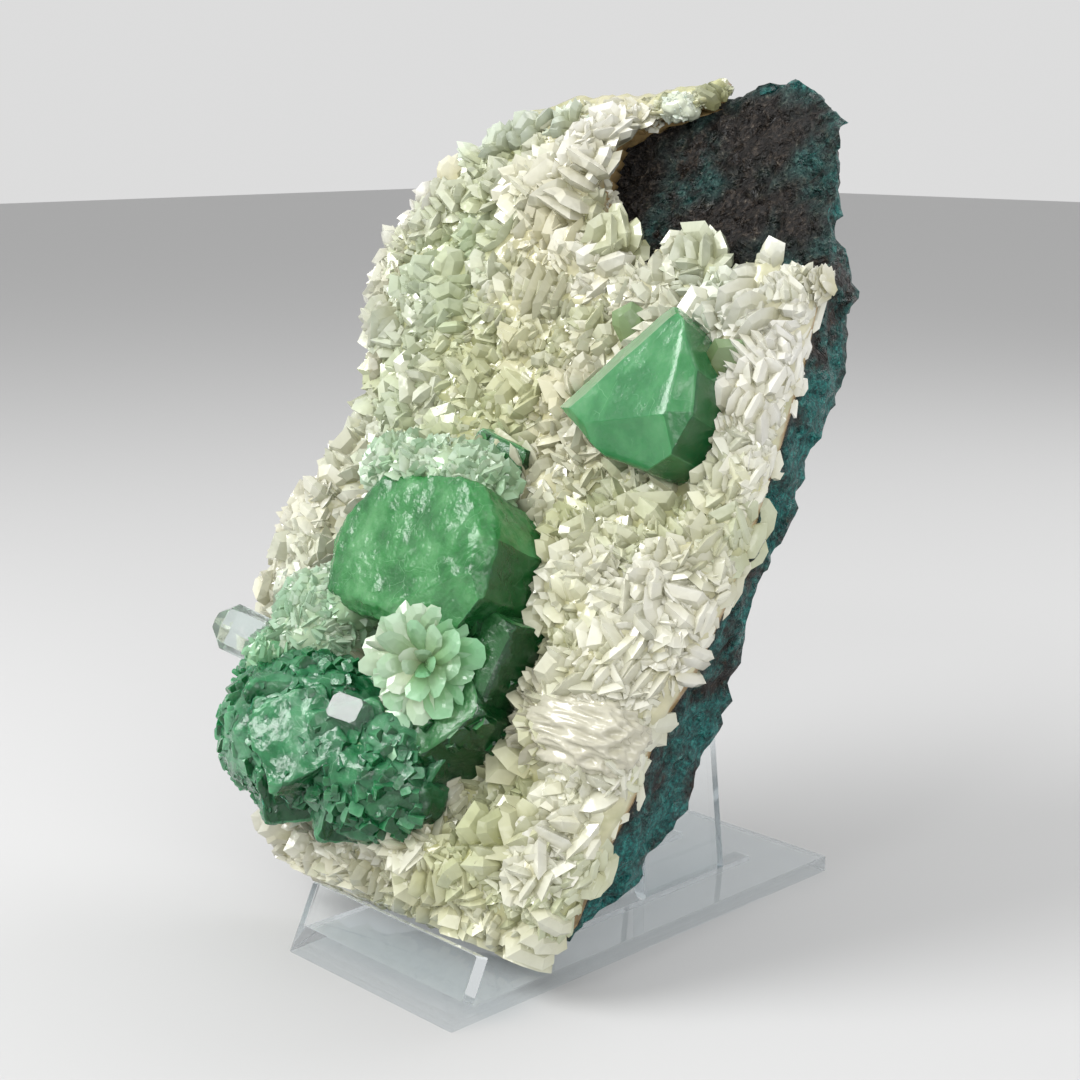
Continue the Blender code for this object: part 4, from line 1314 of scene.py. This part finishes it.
rosette = {
    "centre": (-48, 36, 56), "axis": (0.55, 0.8, -0.1), "seed": 31,
    # petals, lean, length, width and how far they turn on edge, in each ring
    "rings": (
        (5, 0.45, 11.5, 6.0, 0.9), (9, 0.95, 15.0, 8.0, 0.6), (13, 1.3, 17.0, 8.5, 0.4),
        (14, 1.6, 16.5, 8.5, 0.4), (12, 1.35, 16.0, 5.0, 2.5), (9, 2.0, 14.5, 8.0, 0.4),
    ),
    "thick": 2.2 * mm,
}


def buildRosette():
    chance = random.Random(rosette["seed"])
    bm = bmesh.new()
    centre = atSpot(rosette["centre"])
    normal = outward(rosette["axis"])
    tangent = normal.orthogonal().normalized()
    for petals, lean, length, width, onEdge in rosette["rings"]:
        start = chance.uniform(0.0, math.tau)
        for index in range(petals):
            turn = start + (index + chance.uniform(-0.2, 0.2)) * math.tau / petals
            away = tangent.copy()
            away.rotate(Matrix.Rotation(turn, 3, normal))
            direction = normal * math.cos(lean) + away * math.sin(lean)
            axis = normal.cross(away) + normal * chance.uniform(-onEdge, onEdge)
            towardGreen = min(1.0, max(0.0, 0.45 + 0.5 * away.x + chance.uniform(-0.4, 0.4)))
            colour = Vector((190, 210, 184)).lerp(Vector((114, 174, 126)), towardGreen)
            growBlade(bm, chance, bladeMatrix(
                centre, direction, axis, length * chance.uniform(0.8, 1.05) * mm,
                width * chance.uniform(0.75, 1.15) * mm, rosette["thick"],
            ), tone(*colour), petalTemplates)
    finishPiece("rosette_blades", bm, (stilbite,), ("stilbite_rosette",))


# ---- pale green stilbite between the crystals ----

# mounds of small blades: centre and half sizes (across, over, up), clusters, size, tints
mounds = (
    ((-101, 25, 57), (15, 16, 17), 130, (0.5, 0.95), (190, 208, 186), (154, 192, 160)),
    ((-106, 33, 44), (10, 10, 8), 46, (0.5, 0.9), (166, 200, 168), (114, 174, 130)),
    ((-88, 30, 66), (7, 8, 6), 24, (0.5, 0.8), (174, 198, 170), (136, 180, 142)),
    ((-77, 25, 107), (26, 15, 9), 120, (0.55, 1.1), (192, 210, 188), (158, 194, 158)),
    ((-128, 12, 87), (11, 12, 14), 50, (0.8, 1.25), (224, 212, 192), (212, 218, 198)),
    ((-54, 8, 230), (5, 3, 3), 10, (0.4, 0.6), (232, 234, 226), (206, 224, 208)),
)
# the fan of pale petals over the lower cluster: its root, then right, up and towards the viewer
fan = {
    "root": (-63, 38, 36), "axes": ((0.71, -0.705, 0.0), (0.08, 0.08, 0.99), (0.7, 0.705, -0.11)),
    # angle below the right, lean towards the viewer, length, width, tint
    "petals": (
        (-40, 0.1, 15.0, 9.0, (190, 210, 198)), (-18, 0.5, 16.0, 7.0, (166, 208, 174)),
        (4, 0.2, 18.0, 8.5, (150, 198, 160)), (22, 0.7, 18.0, 7.0, (160, 204, 168)),
        (34, 0.3, 19.0, 8.5, (140, 192, 152)), (50, 0.8, 15.0, 7.0, (152, 200, 162)),
        (62, 0.3, 17.0, 8.0, (134, 188, 146)),
    ),
    "thick": 2.2 * mm,
}
# single plates beside the upper crystal: root, direction, length, width, tint
loosePlates = (
    ((-37, 12, 157), (-0.1, 0.5, 0.85), 12.0, 12.0, (124, 150, 108)),
    ((-3, 13, 151), (0.45, 0.4, 0.8), 11.5, 12.0, (128, 152, 112)),
)


def growCore(bm, centre, halves, colour):
    # the lump that a mound's blades stand on
    made = bmesh.new()
    tint = made.verts.layers.float_color.new("tint")
    reach = made.verts.layers.float.new("reach")
    bmesh.ops.create_icosphere(made, subdivisions=4, radius=1.0)
    for vert in made.verts:
        place = onLump(centre, halves, vert.co) + vert.co * 1.2 * mm
        vert.co = place + vert.co * 1.4 * mm * rough(place, 300.0)
        vert[tint] = colour
        vert[reach] = 0.5
    makeSmooth(made)
    joinInto(bm, made)


def growMound(bm, chance, mound):
    centre, halves, count, sizes, first, second = mound
    growCore(bm, centre, halves, tone(*Vector(first).lerp(Vector(second), 0.5)))
    for _ in range(count):
        way = frontWay(chance)
        place = onLump(centre, halves, way)
        colour = Vector(first).lerp(Vector(second), chance.random())
        growCluster(bm, chance, place, way, chance.uniform(*sizes), tone(*colour))


def growFan(bm, chance):
    right, upward, toward = (Vector((a, -b, c)) for a, b, c in fan["axes"])
    for angle, lean, length, width, colour in fan["petals"]:
        turn = math.radians(angle)
        direction = right * math.cos(turn) - upward * math.sin(turn) + toward * lean
        side = right * math.sin(turn) + upward * math.cos(turn) + toward * chance.uniform(-0.6, 0.6)
        matrix = bladeMatrix(
            atSpot(fan["root"]), direction.normalized(), side, length * mm, width * mm, fan["thick"],
        )
        growBlade(bm, chance, matrix, tone(*colour), petalTemplates)


def buildPale():
    chance = random.Random(61)
    bm = bmesh.new()
    for mound in mounds:
        growMound(bm, chance, mound)
    growFan(bm, chance)
    for spot, direction, length, width, colour in loosePlates:
        growBlade(bm, chance, bladeMatrix(
            atSpot(spot), outward(direction), Vector((0.7, 0.7, 0.0)), length * mm, width * mm,
            4.0 * mm,
        ), tone(*colour))
    trimBlades(bm)
    finishPiece("pale_green_blades", bm, (stilbite,))


# ---- colourless crystal ----

clear = {
    "root": (-106, 32, 47), "axis": (-0.86, 0.48, 0.10), "length": 21.0 * mm, "width": 14.0 * mm,
    "cutIn": 0.27, "rise": 0.28, "flatness": 0.8,
}
# the small bright plate over the lower cluster: middle of its face, its way out, size
clearPlate = {"face": (-62, 45, 38), "way": (0.23, 0.948, 0.218), "size": (10.0, 7.0, 6.0)}


def buildClearPlate():
    bm = bmesh.new()
    way = outward(clearPlate["way"])
    turn = way.to_track_quat("Z", "Y").to_matrix().to_4x4()
    turn.translation = atSpot(clearPlate["face"]) - way * clearPlate["size"][2] / 2 * mm
    crystalBlock(bm, turn, clearPlate["size"], 0.22)
    finishPiece("clear_plates", bm, (colourless,))


def buildClear():
    bm = bmesh.new()
    half = clear["width"] / 2
    made = bmesh.ops.create_cone(
        bm, cap_ends=True, segments=8, radius1=half, radius2=half, depth=clear["length"],
    )["verts"]
    top = set(vert for vert in made if vert.co.z > 0.0)
    cap = [face for face in bm.faces if set(face.verts) <= top]
    bmesh.ops.inset_region(bm, faces=cap, thickness=clear["width"] * clear["cutIn"], depth=0.0)
    for vert in cap[0].verts:
        vert.co.z += clear["width"] * clear["rise"]
    bmesh.ops.scale(bm, vec=Vector((1.0, clear["flatness"], 1.0)), verts=bm.verts)
    axis = outward(clear["axis"])
    turn = axis.to_track_quat("Z", "X").to_matrix().to_4x4()
    turn.translation = atSpot(clear["root"]) + axis * clear["length"] / 2
    bm.transform(turn)
    finishPiece(
        "colourless_crystal", bm, (colourless,), ("colourless_apophyllite",),
    )


# ---- stand ----

def dressStand():
    for name in ("stand_base", "back_fin_right", "back_fin_left"):
        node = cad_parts[name]
        for slot in node.material_slots:
            slot.material = acrylic


buildBasalt()
print("basalt built")
crustChance = random.Random(crust["seed"])
buildCrustBody(crustChance)
print("crust body built")
buildCrustBlades(crustChance)
buildSheaf()
buildUpper()
buildMiddle()
buildGreens()
buildPale()
buildRosette()
buildClear()
buildClearPlate()
dressStand()
print("crystals built")


# ---- floor, light and camera ----

stage = {
    "floorColour": (0.5, 0.5, 0.5, 1.0),
    "worldColour": (0.9, 0.9, 0.9, 1.0),
    "worldStrength": 0.8,
    # place, size, power
    "key": ((-0.45, -0.75, 0.85), 0.7, 12.0),
    "fill": ((0.95, -0.45, 0.6), 0.9, 5.0),
    "back": ((0.1, 0.8, 0.8), 0.7, 4.0),
    "glint": ((0.25, -0.85, 0.9), 0.16, 1.4),
    "target": (0.0, 0.0, 0.12),
    # the camera solved from the stand's corners: degrees looked down and turned round
    "eye": (0.36746, -0.36884, 0.22567),
    "lens": 64.21,
    "down": 12.595,
    "round": 45.88,
}


def buildStage():
    bm = bmesh.new()
    bmesh.ops.create_grid(bm, x_segments=1, y_segments=1, size=4.0)
    mesh = bpy.data.meshes.new("floor")
    bm.to_mesh(mesh)
    bm.free()
    floor = bpy.data.objects.new("floor", mesh)
    bpy.context.scene.collection.objects.link(floor)
    material, tree, shader = newMaterial("paleFloor")
    setInputs(tree, shader, {"Base Color": stage["floorColour"], "Roughness": 0.8})
    mesh.materials.append(material)


def addLight(name, place, size, power):
    data = bpy.data.lights.new(name, "AREA")
    data.shape = "DISK"
    data.size = size
    data.energy = power
    light = bpy.data.objects.new(name, data)
    light.location = place
    aim = Vector(stage["target"]) - Vector(place)
    light.rotation_euler = aim.to_track_quat("-Z", "Y").to_euler()
    bpy.context.scene.collection.objects.link(light)


def addCamera():
    data = bpy.data.cameras.new("camera")
    data.lens = stage["lens"]
    data.sensor_width = 36.0
    data.clip_start = 0.01
    camera = bpy.data.objects.new("camera", data)
    camera.location = stage["eye"]
    camera.rotation_euler = (math.radians(90.0 - stage["down"]), 0.0, math.radians(stage["round"]))
    bpy.context.scene.collection.objects.link(camera)
    bpy.context.scene.camera = camera


buildStage()
for lightName in ("key", "fill", "back", "glint"):
    addLight(lightName, *stage[lightName])
addCamera()
world = bpy.data.worlds.new("studio")
world.use_nodes = True
setInputs(world.node_tree, world.node_tree.nodes["Background"], {
    "Color": stage["worldColour"], "Strength": stage["worldStrength"],
})
bpy.context.scene.world = world
bpy.context.scene.view_settings.view_transform = "Standard"
print("stage set")
